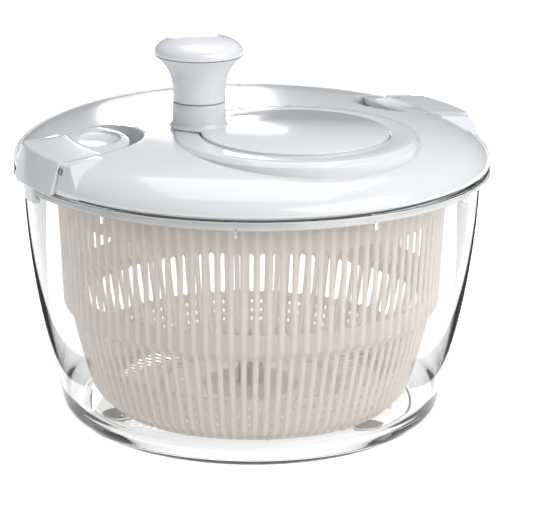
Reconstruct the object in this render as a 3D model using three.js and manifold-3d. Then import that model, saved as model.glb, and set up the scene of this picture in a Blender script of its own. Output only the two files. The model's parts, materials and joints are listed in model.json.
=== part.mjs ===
// Salad spinner: a clear bowl, a slotted basket on a centre pivot, and a lid with an offset crank,
// a gear train and two rocker latches.  Millimetres, +Z up.  The origin is the middle of the base
// on the surface that the rubber feet stand on, and the latches lie on the X axis.

import * as THREE from 'three';
import { mergeVertices } from 'three/addons/utils/BufferGeometryUtils.js';
import Module from 'manifold-3d';

const wasm = await Module();
wasm.setup();

// ---------------------------------------------------------------- driving dimensions

const gap = 0.3; // clearance between pieces that seat on each other
const running = 0.4; // clearance round a part that turns inside another

const bowlRadius = 125.3; // outside of the rim
const bowlHeight = 137.5; // top of the rim
const bowlWall = 2.6;
const bowlTaper = 21.4; // how far the wall draws in between rim and base
const rimHeight = 4.2;
const rimOverhang = 5.1;
const bowlFloor = 3.2;
const baseCorner = 11; // outside radius where the wall turns into the base
const baseInset = 2.4; // height of the floor's underside above the ground
const baseClear = 1.0; // height of the base ring above the ground
const baseRingWidth = 4.5;

const footCount = 3;
const footRadius = 8;
const footHeight = 4.2;
const footInset = 1.7; // between a foot and the base ring
const footAngle = 55; // degrees, first foot

const pinRadius = 3;
const pinHeight = 13.5;
const pinBossRadius = 7;
const pinBossHeight = 3.8;

const basketWall = 1.8;
const basketClearance = 6.3; // below the rim of the bowl
const basketLift = 3.6; // foot ring above the bowl's floor
const basketRoom = 14.4; // between the basket's neck and the bowl's wall
const basketFlange = 3.6;
const basketStep = 4.0; // inward step below the smooth band
const basketDraw = 24.2; // how far the basket draws in between neck and base
const slotColumns = 40;
const slotShare = 0.5; // slot width as a share of its pitch
const driveRibs = 6;
const driveRibWidth = 3;

const lidRise = 20.3; // dome height above the lid's edge
const lidEdge = 2.7; // height of the lid's vertical edge
const lidWall = 2.2;
const lidSeam = 0.3; // open line between the lid and the bowl's rim
const lidFall = 4.5; // exponents of the dome's profile
const lidRound = 1.7;

const crankOffset = 46; // from the spin axis to the crank's axis
const plinthRadius = 63.5;
const plinthProud = 0.5; // above the top of the dome
const discRadius = 48;
const discThickness = 3;
const discProud = 1;
const crankArm = 51; // crank axis to knob axis
const crankAngle = 136; // degrees, where the knob stands at rest
const lobeRadius = 15.5;
const knobBossRadius = 13.7;
const knobBossHeight = 12.2;
const stemRadius = 6;
const bushWall = 2.7;

const gearTeeth = 34;
const pinionTeeth = 10;
const gearWidth = 7;
const shaftRadius = 4;

const gripHeight = 23.7;
const gripWaist = 13.3;
const gripFlare = 22.8;
const capHeight = 9.8;
const spindleRadius = 3.5;

const latchHalfWidth = 22.5;
const latchReach = 49.3; // from the rim in to the end of the finger pad
const latchPit = 10; // open finger recess beyond the pad
const latchArm = 3; // thickness of the lever
const latchProud = 2.6; // lever's skirt outside the rim
const latchSkirt = 2.2;
const latchFlush = 25.3; // from the rim in to where the lever leaves the lid's dome
const latchEdge = 2.8; // from the rim in to the lever's raised outer edge
const latchEdgeDrop = 6.8; // of that edge below the plinth's top
const latchHubWall = 1.7; // round the pin's bore
const latchWeb = 2.8; // plate from the hub up to the lever's top
const dishSetback = 15; // from the pad's end out to the middle of the finger dish
const dishLength = 26;
const dishWidth = 30;
const dishDepth = 2.8;
const dishRaise = 1; // of the dish's middle above the pad
const springSetback = 16; // from the pad's end out to the spring
const springCoil = 3;
const springWire = 0.45;
const springTurns = 3;
const cheekHalfWidth = 27; // of the lid's raised cheeks beside a lever
const cheekBlend = 13; // where each cheek falls away to the dome
const cheekDrop = 0.9; // of a cheek below the lever's top
const hookHalfWidth = 5;
const hookReach = 1.6;
const hookHeight = 2.5;
const hookGap = 1.0;
const latchPinRadius = 1.5;
const latchPivotDrop = 4.7; // of the pivot below the lever's outer edge
const latchPinEnd = 2; // of the pin beyond the lever on each side
const latchTravel = 9; // drop of the pad's end when pressed
const wellRoom = 9; // from the pivot in to the step of the pocket, clear of the pressed latch

const screwCount = 6;
const screwRadius = 1.5;

// ---------------------------------------------------------------- heights that follow

const floorTop = baseInset + bowlFloor;
const basketNeck = bowlRadius - rimOverhang - bowlWall - basketRoom;
const basketBaseRadius = basketNeck - basketDraw;
const latchInner = bowlRadius - latchReach;
const wallTopRadius = bowlRadius - rimOverhang;
const rimBottom = bowlHeight - rimHeight;
const lidBottom = bowlHeight + lidSeam;
const lidEdgeTop = lidBottom + lidEdge;
const basketTop = bowlHeight - basketClearance;
const basketBottom = floorTop + basketLift;
const plinthTop = lidEdgeTop + lidRise + plinthProud;
const baseFlangeTop = lidBottom + 1.4;
const baseFloorBottom = basketTop + 3.3;
const baseFloorTop = baseFloorBottom + 2;
const gearBottom = baseFloorTop + 6.5;
const gearTop = gearBottom + gearWidth;
const discBottom = plinthTop + discProud - discThickness;
const discTop = plinthTop + discProud;
const pocketFloor = discBottom - gap;
const bossTop = discTop + knobBossHeight;
const latchPivotRadius = bowlRadius - 5.8;
const latchEdgeHeight = plinthTop - latchEdgeDrop;
const latchPivotHeight = latchEdgeHeight - latchPivotDrop;
const latchFloor = lidEdgeTop + lidRise - latchArm - latchTravel - 2.6;
const spigotWall = 2;
const spigotRadius = wallTopRadius - bowlWall - 2 * gap;
const screwPost = screwRadius + 2.5;
const screwPitch = spigotRadius - spigotWall - screwPost - 0.7;
const gearModule = (2 * crankOffset) / (gearTeeth + pinionTeeth);

// ---------------------------------------------------------------- helpers

const roundFacets = 40;
const smallFacets = 14;

function degrees(angle) {
  return (angle * Math.PI) / 180;
}

// A closed profile of [radius, height] points turned about the Z axis.
function turned(points, facets = roundFacets) {
  let area = 0;
  points.forEach(([r, z], i) => {
    const [nextR, nextZ] = points[(i + 1) % points.length];
    area += r * nextZ - nextR * z;
  });
  const ordered = area < 0 ? [...points].reverse() : [...points];
  const first = ordered.findIndex(([r], i) => r < 1e-9 && ordered.at(i - 1)[0] < 1e-9);
  const start = first < 0 ? 0 : first;
  const ring = [...ordered.slice(start), ...ordered.slice(0, start)];
  if (first < 0) ring.push(ring[0]);
  const profile = ring.map(([r, z]) => new THREE.Vector2(r, z));
  return new THREE.LatheGeometry(profile, facets).rotateX(Math.PI / 2);
}

// A flat outline in X and Y raised from one height to another.
function raised(shape, bottom, top, curveSegments = 12) {
  const options = { depth: top - bottom, bevelEnabled: false, curveSegments };
  return new THREE.ExtrudeGeometry(shape, options).translate(0, 0, bottom);
}

function box(x0, x1, y0, y1, z0, z1) {
  const geometry = new THREE.BoxGeometry(x1 - x0, y1 - y0, z1 - z0);
  return geometry.translate((x0 + x1) / 2, (y0 + y1) / 2, (z0 + z1) / 2);
}

function rod(radius, bottom, top, facets = smallFacets, x = 0, y = 0) {
  const geometry = new THREE.CylinderGeometry(radius, radius, top - bottom, facets);
  return geometry.rotateX(Math.PI / 2).translate(x, y, (bottom + top) / 2);
}

function solid(geometry) {
  const bare = geometry.clone();
  bare.deleteAttribute('normal');
  bare.deleteAttribute('uv');
  const merged = mergeVertices(bare, 1e-4);
  return new wasm.Manifold(new wasm.Mesh({
    numProp: 3,
    vertProperties: merged.attributes.position.array,
    triVerts: new Uint32Array(merged.index.array),
  }));
}

function geometryOf(manifold) {
  const mesh = manifold.getMesh();
  const geometry = new THREE.BufferGeometry();
  geometry.setAttribute('position', new THREE.BufferAttribute(mesh.vertProperties, 3));
  geometry.setIndex(new THREE.BufferAttribute(mesh.triVerts, 1));
  geometry.computeVertexNormals();
  return geometry;
}

function join(...geometries) {
  return geometries.map(solid).reduce((whole, piece) => whole.add(piece));
}

const part = new THREE.Group();

const finishes = {
  clear: { color: 0xf2f4f4, roughness: 0.05, metalness: 0, transparent: true, opacity: 0.35 },
  frosted: { color: 0xd9d0c6, roughness: 0.45, metalness: 0 },
  white: { color: 0xe6e9ec, roughness: 0.25, metalness: 0 },
  inner: { color: 0xdcdfe2, roughness: 0.5, metalness: 0 },
  gear: { color: 0xeeeeea, roughness: 0.45, metalness: 0 },
  steel: { color: 0xb4b6b8, roughness: 0.3, metalness: 1 },
  brass: { color: 0xc4a15a, roughness: 0.35, metalness: 1 },
  rubber: { color: 0x8b8078, roughness: 0.85, metalness: 0 },
};

function addPiece(name, shape, finish) {
  const geometry = shape.isBufferGeometry ? shape : geometryOf(shape);
  const mesh = new THREE.Mesh(geometry, new THREE.MeshStandardMaterial(finishes[finish]));
  mesh.name = name;
  part.add(mesh);
}

// ---------------------------------------------------------------- bowl, feet and pivot

function bowlWallRadius(z) {
  const down = (rimBottom - z) / rimBottom;
  return wallTopRadius - bowlTaper * down ** 1.83;
}

const baseCornerTop = baseClear + baseCorner;
const baseCornerMiddle = bowlWallRadius(baseCornerTop) - baseCorner;
const baseRingInner = baseCornerMiddle - baseRingWidth;
const footPitch = baseRingInner - footRadius - footInset;

function footPlace(index) {
  const angle = degrees(footAngle + (index * 360) / footCount);
  return [footPitch * Math.cos(angle), footPitch * Math.sin(angle)];
}

function makeBowl() {
  const wallSteps = 4;
  const cornerSteps = 3;
  const outer = [];
  const inner = [];
  for (let i = 0; i < cornerSteps; i += 1) {
    const turn = degrees((90 * i) / cornerSteps);
    const along = Math.sin(turn);
    const up = Math.cos(turn);
    outer.push([baseCornerMiddle + baseCorner * along, baseCornerTop - baseCorner * up]);
    const innerCorner = baseCorner - bowlWall;
    inner.push([baseCornerMiddle + innerCorner * along, floorTop + innerCorner * (1 - up)]);
  }
  const innerCornerTop = floorTop + baseCorner - bowlWall;
  for (let i = 0; i <= wallSteps; i += 1) {
    const outerZ = baseCornerTop + ((rimBottom - baseCornerTop) * i) / wallSteps;
    outer.push([bowlWallRadius(outerZ), outerZ]);
    const innerZ = innerCornerTop + ((rimBottom - innerCornerTop) * i) / wallSteps;
    inner.push([bowlWallRadius(innerZ) - bowlWall, innerZ]);
  }
  const profile = [
    [0, floorTop],
    [0, baseInset],
    [baseRingInner, baseInset],
    [baseRingInner + 1, baseClear],
    ...outer,
    [bowlRadius, rimBottom],
    [bowlRadius, bowlHeight],
    [wallTopRadius - bowlWall, bowlHeight],
    ...inner.reverse(),
  ];
  const boss = rod(pinBossRadius, floorTop - 1, floorTop + pinBossHeight);
  let bowl = join(turned(profile), boss);
  bowl = bowl.subtract(solid(rod(pinRadius + gap, floorTop + 0.4, basketTop, 12)));
  for (let i = 0; i < footCount; i += 1) {
    const [x, y] = footPlace(i);
    const pocket = rod(footRadius + gap, -1, footHeight + gap, smallFacets, x, y);
    bowl = bowl.subtract(solid(pocket));
  }
  return bowl;
}

function makePivotPin() {
  const bottom = floorTop + 0.4 + gap;
  const shoulder = bottom + pinHeight;
  return turned([
    [0, bottom],
    [pinRadius, bottom],
    [pinRadius, shoulder],
    [pinRadius * 0.6, shoulder + 1.2],
    [0, shoulder + 1.6],
  ], 12);
}

const pinTip = floorTop + 0.4 + gap + pinHeight + 1.6;

addPiece('bowl', makeBowl(), 'clear');
for (let i = 0; i < footCount; i += 1) {
  const [x, y] = footPlace(i);
  addPiece(`rubber_foot_${i + 1}`, rod(footRadius, 0, footHeight, smallFacets, x, y), 'rubber');
}
addPiece('pivot_pin', makePivotPin(), 'steel');

// ---------------------------------------------------------------- basket and its bush

const bandTop = basketTop - 58.5; // smooth band between the two rows of slots
const bandBottom = bandTop - 12.3;
const upperSlots = [bandTop, basketTop - 15.6];
const lowerSlots = [basketBottom + 25.2, bandBottom];
const hubRadius = pinRadius + running + 3 + gap + basketWall;
const basketFloorBottom = basketBottom + 2.6;
const bushTop = pinTip + 0.1 + 2;

function basketRadius(z) {
  if (z > bandBottom) {
    return basketNeck - 3.4 * ((basketTop - z) / (basketTop - bandBottom)) ** 0.7;
  }
  const down = (bandBottom - z) / (bandBottom - basketFloorBottom);
  return basketRadius(bandBottom + 0.01) - basketStep - 12.4 * down ** 1.25;
}

function makeBasket() {
  const lower = [basketFloorBottom + 6, lowerSlots[0] - 1, bandBottom + 0.2];
  const upper = [bandBottom + 1.5, bandTop - 1, upperSlots[1] + 1, basketTop - 4];
  const outer = [...lower, ...upper].map((z) => [basketRadius(z), z]);
  outer[2][0] = basketRadius(bandBottom);
  const inner = outer.map(([r, z]) => [r - basketWall, z]);
  inner[0] = [outer[0][0] - basketWall, outer[0][1] + 1];
  const floorInner = basketFloorBottom + basketWall;
  const hubTop = bushTop + gap;
  const profile = [
    [0, hubTop + basketWall],
    [0, hubTop],
    [hubRadius - basketWall, hubTop],
    [hubRadius - basketWall, basketFloorBottom],
    [basketBaseRadius - 2.2, basketFloorBottom],
    [basketBaseRadius - 2.2, basketBottom],
    [basketBaseRadius, basketBottom],
    [basketBaseRadius + 1.5, basketFloorBottom + 0.8],
    ...outer,
    [basketNeck + basketFlange, basketTop - 3],
    [basketNeck + basketFlange, basketTop],
    [basketNeck - basketWall, basketTop],
    ...inner.reverse(),
    [basketBaseRadius - 0.5, floorInner],
    [hubRadius + 2, floorInner],
    [hubRadius, hubTop + basketWall],
  ];
  let basket = solid(turned(profile, slotColumns));
  const pitch = 360 / slotColumns;
  const halfSlot = (slotShare * Math.PI * basketNeck) / slotColumns;
  for (let i = 0; i < slotColumns; i += 1) {
    const turn = degrees((i + 0.5) * pitch);
    const reach = basketNeck * 0.75;
    const long = box(reach, bowlRadius, -halfSlot, halfSlot, ...upperSlots).rotateZ(turn);
    const narrow = box(reach, bowlRadius, -halfSlot * 0.8, halfSlot * 0.8, ...lowerSlots).rotateZ(turn);
    basket = basket.subtract(solid(long)).subtract(solid(narrow));
  }
  for (let i = 0; i < driveRibs; i += 1) {
    const turn = degrees(((i + 0.5) * 360) / driveRibs);
    const top = basketTop - 2;
    const rib = box(
      drivePlateRadius + running, basketNeck - 1, 0, driveRibWidth, top - 9, top,
    ).rotateZ(turn);
    basket = basket.add(solid(rib));
  }
  return basket;
}

function makeBasketBush() {
  const outer = pinRadius + running + 3;
  const bore = pinRadius + running;
  return turned([
    [0, pinTip + 0.1],
    [bore, pinTip + 0.1],
    [bore, basketFloorBottom],
    [outer, basketFloorBottom],
    [outer, bushTop],
    [0, bushTop],
  ], 20);
}

const drivePlateRadius = basketNeck - basketWall - 3;

addPiece('basket', makeBasket(), 'frosted');
addPiece('basket_bush', makeBasketBush(), 'inner');

// ---------------------------------------------------------------- lid shells

function lidHeight(r) {
  const share = Math.min(r / bowlRadius, 1);
  return lidEdgeTop + lidRise * (1 - share ** lidFall) ** (1 / lidRound);
}

// The dome's outline, its points closer together near the edge where it curves most.
function domePoints(inset, drop, steps) {
  const points = [];
  for (let i = steps; i >= 0; i -= 1) {
    const share = 1 - (1 - i / steps) ** 2.2;
    const r = bowlRadius * share;
    points.push([Math.max(r * (1 - inset / bowlRadius), 0), lidHeight(r) - drop]);
  }
  return points;
}

function latchOutline(clearance, reachIn) {
  const halfWidth = latchHalfWidth + clearance;
  const middle = latchInner + latchPit;
  const inward = middle - reachIn;
  const outline = new THREE.Shape();
  outline.moveTo(bowlRadius + 10, -halfWidth);
  outline.lineTo(bowlRadius + 10, halfWidth);
  outline.lineTo(middle, halfWidth);
  outline.absellipse(middle, 0, inward, halfWidth, Math.PI / 2, Math.PI * 1.5, false, 0);
  outline.closePath();
  return outline;
}

const sideGap = 0.4; // between a lever and the sides of its pocket
const wellInner = latchPivotRadius - wellRoom; // where the pocket drops to take the pivot

function latchPocket(growth) {
  const outline = latchOutline(sideGap + growth, latchInner - latchPit - growth);
  const halfWidth = latchHalfWidth + sideGap + growth;
  const well = box(
    wellInner - growth, bowlRadius + 10, -halfWidth, halfWidth,
    growth > 0 ? baseFlangeTop + gap : bowlHeight - 5, plinthTop + 20,
  );
  return join(raised(outline, latchFloor - growth, plinthTop + 20, 8), well);
}

function screwPlace(index) {
  const angle = degrees(30 + (index * 360) / screwCount);
  return [screwPitch * Math.cos(angle), screwPitch * Math.sin(angle)];
}

// The raised part of the lid on both sides of a lever, as high as the lever and falling away outwards.
function makeCheeks() {
  const edge = bowlRadius - latchEdge;
  const flush = bowlRadius - latchFlush;
  const top = latchEdgeHeight - cheekDrop;
  const skin = turned([
    [0, lidBottom + 1],
    [bowlRadius - 0.3, lidBottom + 1],
    [bowlRadius - 0.3, lidEdgeTop],
    [edge - 1, top - 1.7],
    [edge - 1.8, top - 0.4],
    [edge - 3.6, top],
    [flush, lidHeight(flush) - 0.1],
    [0, lidHeight(flush) - 0.1],
  ]);
  const across = new THREE.Shape();
  across.moveTo(-cheekHalfWidth - cheekBlend, lidBottom);
  across.lineTo(cheekHalfWidth + cheekBlend, lidBottom);
  across.lineTo(cheekHalfWidth + cheekBlend, lidEdgeTop + 0.5);
  across.lineTo(cheekHalfWidth, plinthTop - 4);
  across.lineTo(-cheekHalfWidth, plinthTop - 4);
  across.lineTo(-cheekHalfWidth - cheekBlend, lidEdgeTop + 0.5);
  across.closePath();
  const wedge = solid(raised(across, flush, bowlRadius + 5)).rotate([90, 0, 90]);
  return solid(skin).intersect(wedge);
}

function makeLidCover() {
  const dome = solid(turned([[0, lidBottom], [bowlRadius, lidBottom], ...domePoints(0, 0, 8)]));
  const plinth = turned([
    [0, lidEdgeTop],
    [plinthRadius, lidEdgeTop],
    [plinthRadius, plinthTop - 2.4],
    [plinthRadius - 1, plinthTop - 0.8],
    [plinthRadius - 3, plinthTop],
    [0, plinthTop],
  ], 36).translate(0, -crankOffset, 0);
  const cheeks = makeCheeks();
  const outside = dome.add(solid(plinth)).add(cheeks).add(cheeks.rotate([0, 0, 180]));

  const hollow = [[0, lidBottom - 1], [bowlRadius - lidWall, lidBottom - 1]];
  hollow.push(...domePoints(lidWall, lidWall, 5));
  const pocketBase = rod(
    discRadius + 4, pocketFloor - lidWall, plinthTop, 36, 0, -crankOffset,
  );
  const crankBoss = rod(
    stemRadius + running + bushWall + gap + 2.4, gearTop + 2.4, pocketFloor, smallFacets,
    0, -crankOffset,
  );
  const shaftBoss = rod(shaftRadius + running + 3, gearTop + 1, plinthTop - 2);
  let inside = solid(turned(hollow));
  inside = inside.subtract(solid(pocketBase)).subtract(solid(crankBoss));
  inside = inside.subtract(solid(shaftBoss));
  for (let i = 0; i < screwCount; i += 1) {
    const [x, y] = screwPlace(i);
    const post = rod(screwPost, baseFloorTop + gap, plinthTop, 12, x, y);
    inside = inside.subtract(solid(post));
  }
  for (const side of [0, Math.PI]) {
    inside = inside.subtract(latchPocket(2).rotate([0, 0, (side * 180) / Math.PI]));
  }
  let cover = outside.subtract(inside);
  cover = cover.subtract(
    solid(rod(discRadius + running, pocketFloor, plinthTop + 5, 36, 0, -crankOffset)),
  );
  const bushBore = stemRadius + running + bushWall + gap;
  cover = cover.subtract(
    solid(rod(bushBore, baseFloorTop, plinthTop + 5, smallFacets, 0, -crankOffset)),
  );
  cover = cover.subtract(solid(rod(shaftRadius + running, gearTop - 1, gearTop + 5)));
  for (let i = 0; i < screwCount; i += 1) {
    const [x, y] = screwPlace(i);
    cover = cover.subtract(
      solid(rod(screwRadius + gap, baseFloorTop - 1, baseFloorTop + 9.5, 12, x, y)),
    );
  }
  for (const side of [0, 180]) {
    cover = cover.subtract(latchPocket(0).rotate([0, 0, side]));
    cover = cover.subtract(latchPinRod(latchPinRadius + gap, latchPinEnd + 1).rotate([0, 0, side]));
  }
  return cover;
}

function latchPinRod(radius, beyond) {
  const length = 2 * (latchHalfWidth + beyond);
  const pin = new THREE.CylinderGeometry(radius, radius, length, 12);
  return solid(pin.translate(latchPivotRadius, 0, latchPivotHeight));
}

function makeLidBase() {
  const lip = bowlRadius - lidWall - 1.6;
  const bore = shaftRadius + running + bushWall + gap;
  const profile = [
    [bore, baseFloorBottom - 1.5],
    [bore + 3, baseFloorBottom - 1.5],
    [bore + 3, baseFloorBottom],
    [spigotRadius - spigotWall, baseFloorBottom],
    [spigotRadius - spigotWall, baseFloorBottom - 3],
    [spigotRadius, baseFloorBottom - 3],
    [spigotRadius, lidBottom],
    [lip, lidBottom],
    [lip, baseFlangeTop],
    [spigotRadius - spigotWall, baseFlangeTop],
    [spigotRadius - spigotWall, baseFloorTop],
    [bore + 3, baseFloorTop],
    [bore + 3, baseFloorTop + 3.5],
    [bore, baseFloorTop + 3.5],
  ];
  let base = solid(turned(profile));
  for (let i = 0; i < screwCount; i += 1) {
    const [x, y] = screwPlace(i);
    const hole = rod(screwRadius + gap, baseFloorBottom - 5, baseFloorTop + 5, 12, x, y);
    base = base.subtract(solid(hole));
  }
  return base;
}

function makeLidScrew(index) {
  const [x, y] = screwPlace(index);
  const seat = baseFloorBottom - gap;
  return turned([
    [0, seat - 2],
    [screwRadius * 1.7, seat - 2],
    [screwRadius * 2, seat - 1.2],
    [screwRadius * 2, seat],
    [screwRadius, seat],
    [screwRadius, baseFloorTop + 8.5],
    [0, baseFloorTop + 9],
  ], 12).translate(x, y, 0);
}

addPiece('lid_cover', makeLidCover(), 'white');
addPiece('lid_base', makeLidBase(), 'inner');
for (let i = 0; i < screwCount; i += 1) {
  addPiece(`lid_screw_${i + 1}`, makeLidScrew(i), 'steel');
}

// ---------------------------------------------------------------- latches

function makeLatchLever() {
  const skirt = bowlRadius + latchProud;
  const hookTop = rimBottom - hookGap;
  const hookBottom = hookTop - hookHeight;
  const flush = bowlRadius - latchFlush;
  const edge = bowlRadius - latchEdge;
  const skirtBottom = lidBottom + gap;
  const domeTop = domePoints(0, 0, 8).filter(([r]) => r < flush);
  const envelope = turned([
    [0, hookBottom],
    [skirt - 1, hookBottom],
    [skirt, hookBottom + 1],
    [skirt, skirtBottom],
    [edge + 1, latchEdgeHeight - 2.4],
    [edge, latchEdgeHeight - 0.6],
    [edge - 1.8, latchEdgeHeight],
    [flush, lidHeight(flush)],
    ...domeTop,
  ]);
  const skirtInner = skirt - latchSkirt;
  const underside = domePoints(0, latchArm, 6).filter(([r]) => r < flush - 1);
  const inside = turned([
    [0, hookBottom - 2],
    [bowlRadius - hookReach + 0.6, hookBottom - 2],
    [bowlRadius - hookReach, hookBottom + 1],
    [bowlRadius - hookReach, hookTop],
    [skirtInner, hookTop],
    [skirtInner, skirtBottom],
    [edge - 2.4, latchEdgeHeight - latchArm],
    [flush, lidHeight(flush) - latchArm],
    ...underside,
  ]);
  const pad = raised(latchOutline(0, latchInner), skirtBottom, plinthTop + 5, 8);
  const hook = box(
    latchPivotRadius, bowlRadius + 10, -hookHalfWidth, hookHalfWidth,
    hookBottom - 5, skirtBottom + 1,
  );
  const outline = join(pad, hook);
  const shell = solid(envelope).subtract(solid(inside)).intersect(outline);
  const hub = latchPinRod(latchPinRadius + latchHubWall, 0).intersect(solid(envelope));
  const web = solid(box(
    latchPivotRadius - latchWeb / 2, latchPivotRadius + latchWeb / 2,
    -latchHalfWidth, latchHalfWidth, latchPivotHeight, plinthTop,
  )).intersect(solid(envelope));
  const dish = new THREE.SphereGeometry(1, 16, 8).scale(dishLength / 2, dishWidth / 2, dishDepth);
  const dishMiddle = latchInner + dishSetback;
  dish.translate(dishMiddle, 0, lidHeight(dishMiddle) + dishRaise);
  let lever = shell.add(hub).add(web).subtract(solid(dish));
  lever = lever.subtract(latchPinRod(latchPinRadius + gap, 5));
  return lever;
}

function makeLatchSpring() {
  const springX = latchInner + springSetback;
  const bottom = latchFloor + gap;
  const steps = 24;
  const top = lidHeight(springX + springCoil) - latchArm - 2 * gap;
  const points = [];
  for (let i = 0; i <= steps; i += 1) {
    const angle = (i / steps) * springTurns * 2 * Math.PI;
    const z = bottom + 0.5 + ((top - bottom - 1) * i) / steps;
    points.push(new THREE.Vector3(
      springX + springCoil * Math.cos(angle), springCoil * Math.sin(angle), z,
    ));
  }
  const wire = new THREE.Shape();
  wire.absarc(0, 0, springWire, 0, Math.PI * 2, false);
  const path = new THREE.CatmullRomCurve3(points);
  return new THREE.ExtrudeGeometry(wire, {
    steps, curveSegments: 3, bevelEnabled: false, extrudePath: path,
  });
}

for (const [name, side] of [['right', 0], ['left', 180]]) {
  const turn = degrees(side);
  addPiece(`latch_${name}`, makeLatchLever().rotate([0, 0, side]), 'white');
  addPiece(`latch_pin_${name}`, latchPinRod(latchPinRadius, latchPinEnd).rotate([0, 0, side]), 'steel');
  addPiece(`latch_spring_${name}`, makeLatchSpring().rotateZ(turn), 'steel');
}

// ---------------------------------------------------------------- gear train

// A spur gear's outline with a hexagonal bore.  `first` is where one tooth points, in degrees.
function gearShape(teeth, first, boreRadius) {
  const pitchRadius = (gearModule * teeth) / 2;
  const tip = pitchRadius + gearModule * 0.82;
  const root = pitchRadius - gearModule * 1.05;
  const step = (2 * Math.PI) / teeth;
  const outline = new THREE.Shape();
  for (let i = 0; i < teeth; i += 1) {
    const middle = degrees(first) + i * step;
    const flank = [[root, -0.29], [pitchRadius, -0.21], [tip, -0.11]];
    const tooth = [...flank, ...flank.map(([r, a]) => [r, -a]).reverse()];
    tooth.forEach(([r, a], j) => {
      const x = r * Math.cos(middle + a * step);
      const y = r * Math.sin(middle + a * step);
      if (i === 0 && j === 0) outline.moveTo(x, y);
      else outline.lineTo(x, y);
    });
  }
  outline.closePath();
  const bore = new THREE.Path();
  for (let i = 0; i < 6; i += 1) {
    const angle = degrees(-60 * i);
    const x = boreRadius * Math.cos(angle);
    const y = boreRadius * Math.sin(angle);
    if (i === 0) bore.moveTo(x, y);
    else bore.lineTo(x, y);
  }
  bore.closePath();
  outline.holes.push(bore);
  return outline;
}

function hexRod(radius, bottom, top) {
  return rod(radius, bottom, top, 6).rotateZ(Math.PI / 2);
}

const hexGap = gap * 1.2;
const gearFloat = 0.6; // axial room above and below the gears

function makeCrankGear() {
  const blank = raised(gearShape(gearTeeth, 90, stemRadius + hexGap), gearBottom, gearTop);
  return solid(blank).translate([0, -crankOffset, 0]);
}

function makePinion() {
  const half = 180 / pinionTeeth;
  return raised(gearShape(pinionTeeth, -90 + half, shaftRadius + hexGap), gearBottom, gearTop);
}

function washer(inner, outer, bottom, thickness, y = 0) {
  return turned([
    [inner, bottom],
    [outer, bottom],
    [outer, bottom + thickness],
    [inner, bottom + thickness],
  ], smallFacets).translate(0, y, 0);
}

function screwUp(shankRadius, headTop, length, y = 0) {
  return turned([
    [0, headTop - 2.2],
    [shankRadius * 2, headTop - 2.2],
    [shankRadius * 2.4, headTop - 1.4],
    [shankRadius * 2.4, headTop],
    [shankRadius, headTop],
    [shankRadius, headTop + length],
    [0, headTop + length + 0.6],
  ], 16).translate(0, y, 0);
}

const screwShank = 1.6;
const washerThickness = 1;

function makeDriveShaft() {
  const bottom = basketTop - 8;
  const shaft = join(
    hexRod(shaftRadius - 0.15, bottom, gearTop + 1),
    rod(shaftRadius, baseFloorBottom - 1.2, gearBottom - gearFloat),
    rod(shaftRadius, gearTop + gearFloat, gearTop + 4.4),
  );
  return shaft.subtract(solid(rod(screwShank + gap, bottom - 1, bottom + 8, 12)));
}

function makeDrivePlate() {
  const bore = shaftRadius + hexGap;
  const top = basketTop - 1.2;
  const profile = [
    [bore * 0.5, top - 6.4],
    [bore + 4, top - 6.4],
    [bore + 6, top - 2.2],
    [drivePlateRadius - 2, top - 2.2],
    [drivePlateRadius - 2, top - 6],
    [drivePlateRadius, top - 6],
    [drivePlateRadius, top],
    [bore + 3, top],
    [bore + 3, top + 1.4],
    [bore * 0.5, top + 1.4],
  ];
  let plate = solid(turned(profile, slotColumns));
  for (let i = 0; i < driveRibs; i += 1) {
    const turn = degrees(((i + 0.5) * 360) / driveRibs);
    const lugReach = basketNeck - basketWall - 2 * running - 0.6;
    const lug = box(
      drivePlateRadius - 1.5, lugReach, -8 - running, -running, top - 6, top,
    ).rotateZ(turn);
    plate = plate.add(solid(lug));
  }
  return plate.subtract(solid(hexRod(bore, top - 8, top + 3)));
}

const shaftBottom = basketTop - 8;

addPiece('crank_gear', makeCrankGear(), 'gear');
addPiece('pinion', makePinion(), 'gear');
addPiece('drive_shaft', makeDriveShaft(), 'steel');
addPiece('drive_plate', makeDrivePlate(), 'inner');
addPiece(
  'drive_washer',
  washer(screwShank + gap, shaftRadius + 4, shaftBottom - gap - washerThickness, washerThickness),
  'steel',
);
addPiece(
  'drive_screw', screwUp(screwShank, shaftBottom - washerThickness - 2 * gap, 8), 'steel',
);
addPiece('shaft_bush', turned([
  [shaftRadius + running, baseFloorBottom - 1],
  [shaftRadius + running + bushWall, baseFloorBottom - 1],
  [shaftRadius + running + bushWall, baseFloorTop + 3.5 + gap],
  [shaftRadius + running + bushWall + 2.5, baseFloorTop + 3.5 + gap],
  [shaftRadius + running + bushWall + 2.5, baseFloorTop + 4.8],
  [shaftRadius + running, baseFloorTop + 4.8],
], smallFacets), 'brass');

// ---------------------------------------------------------------- crank and knob

const knobX = crankArm * Math.cos(degrees(crankAngle));
const knobY = crankArm * Math.sin(degrees(crankAngle)) - crankOffset;

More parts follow.
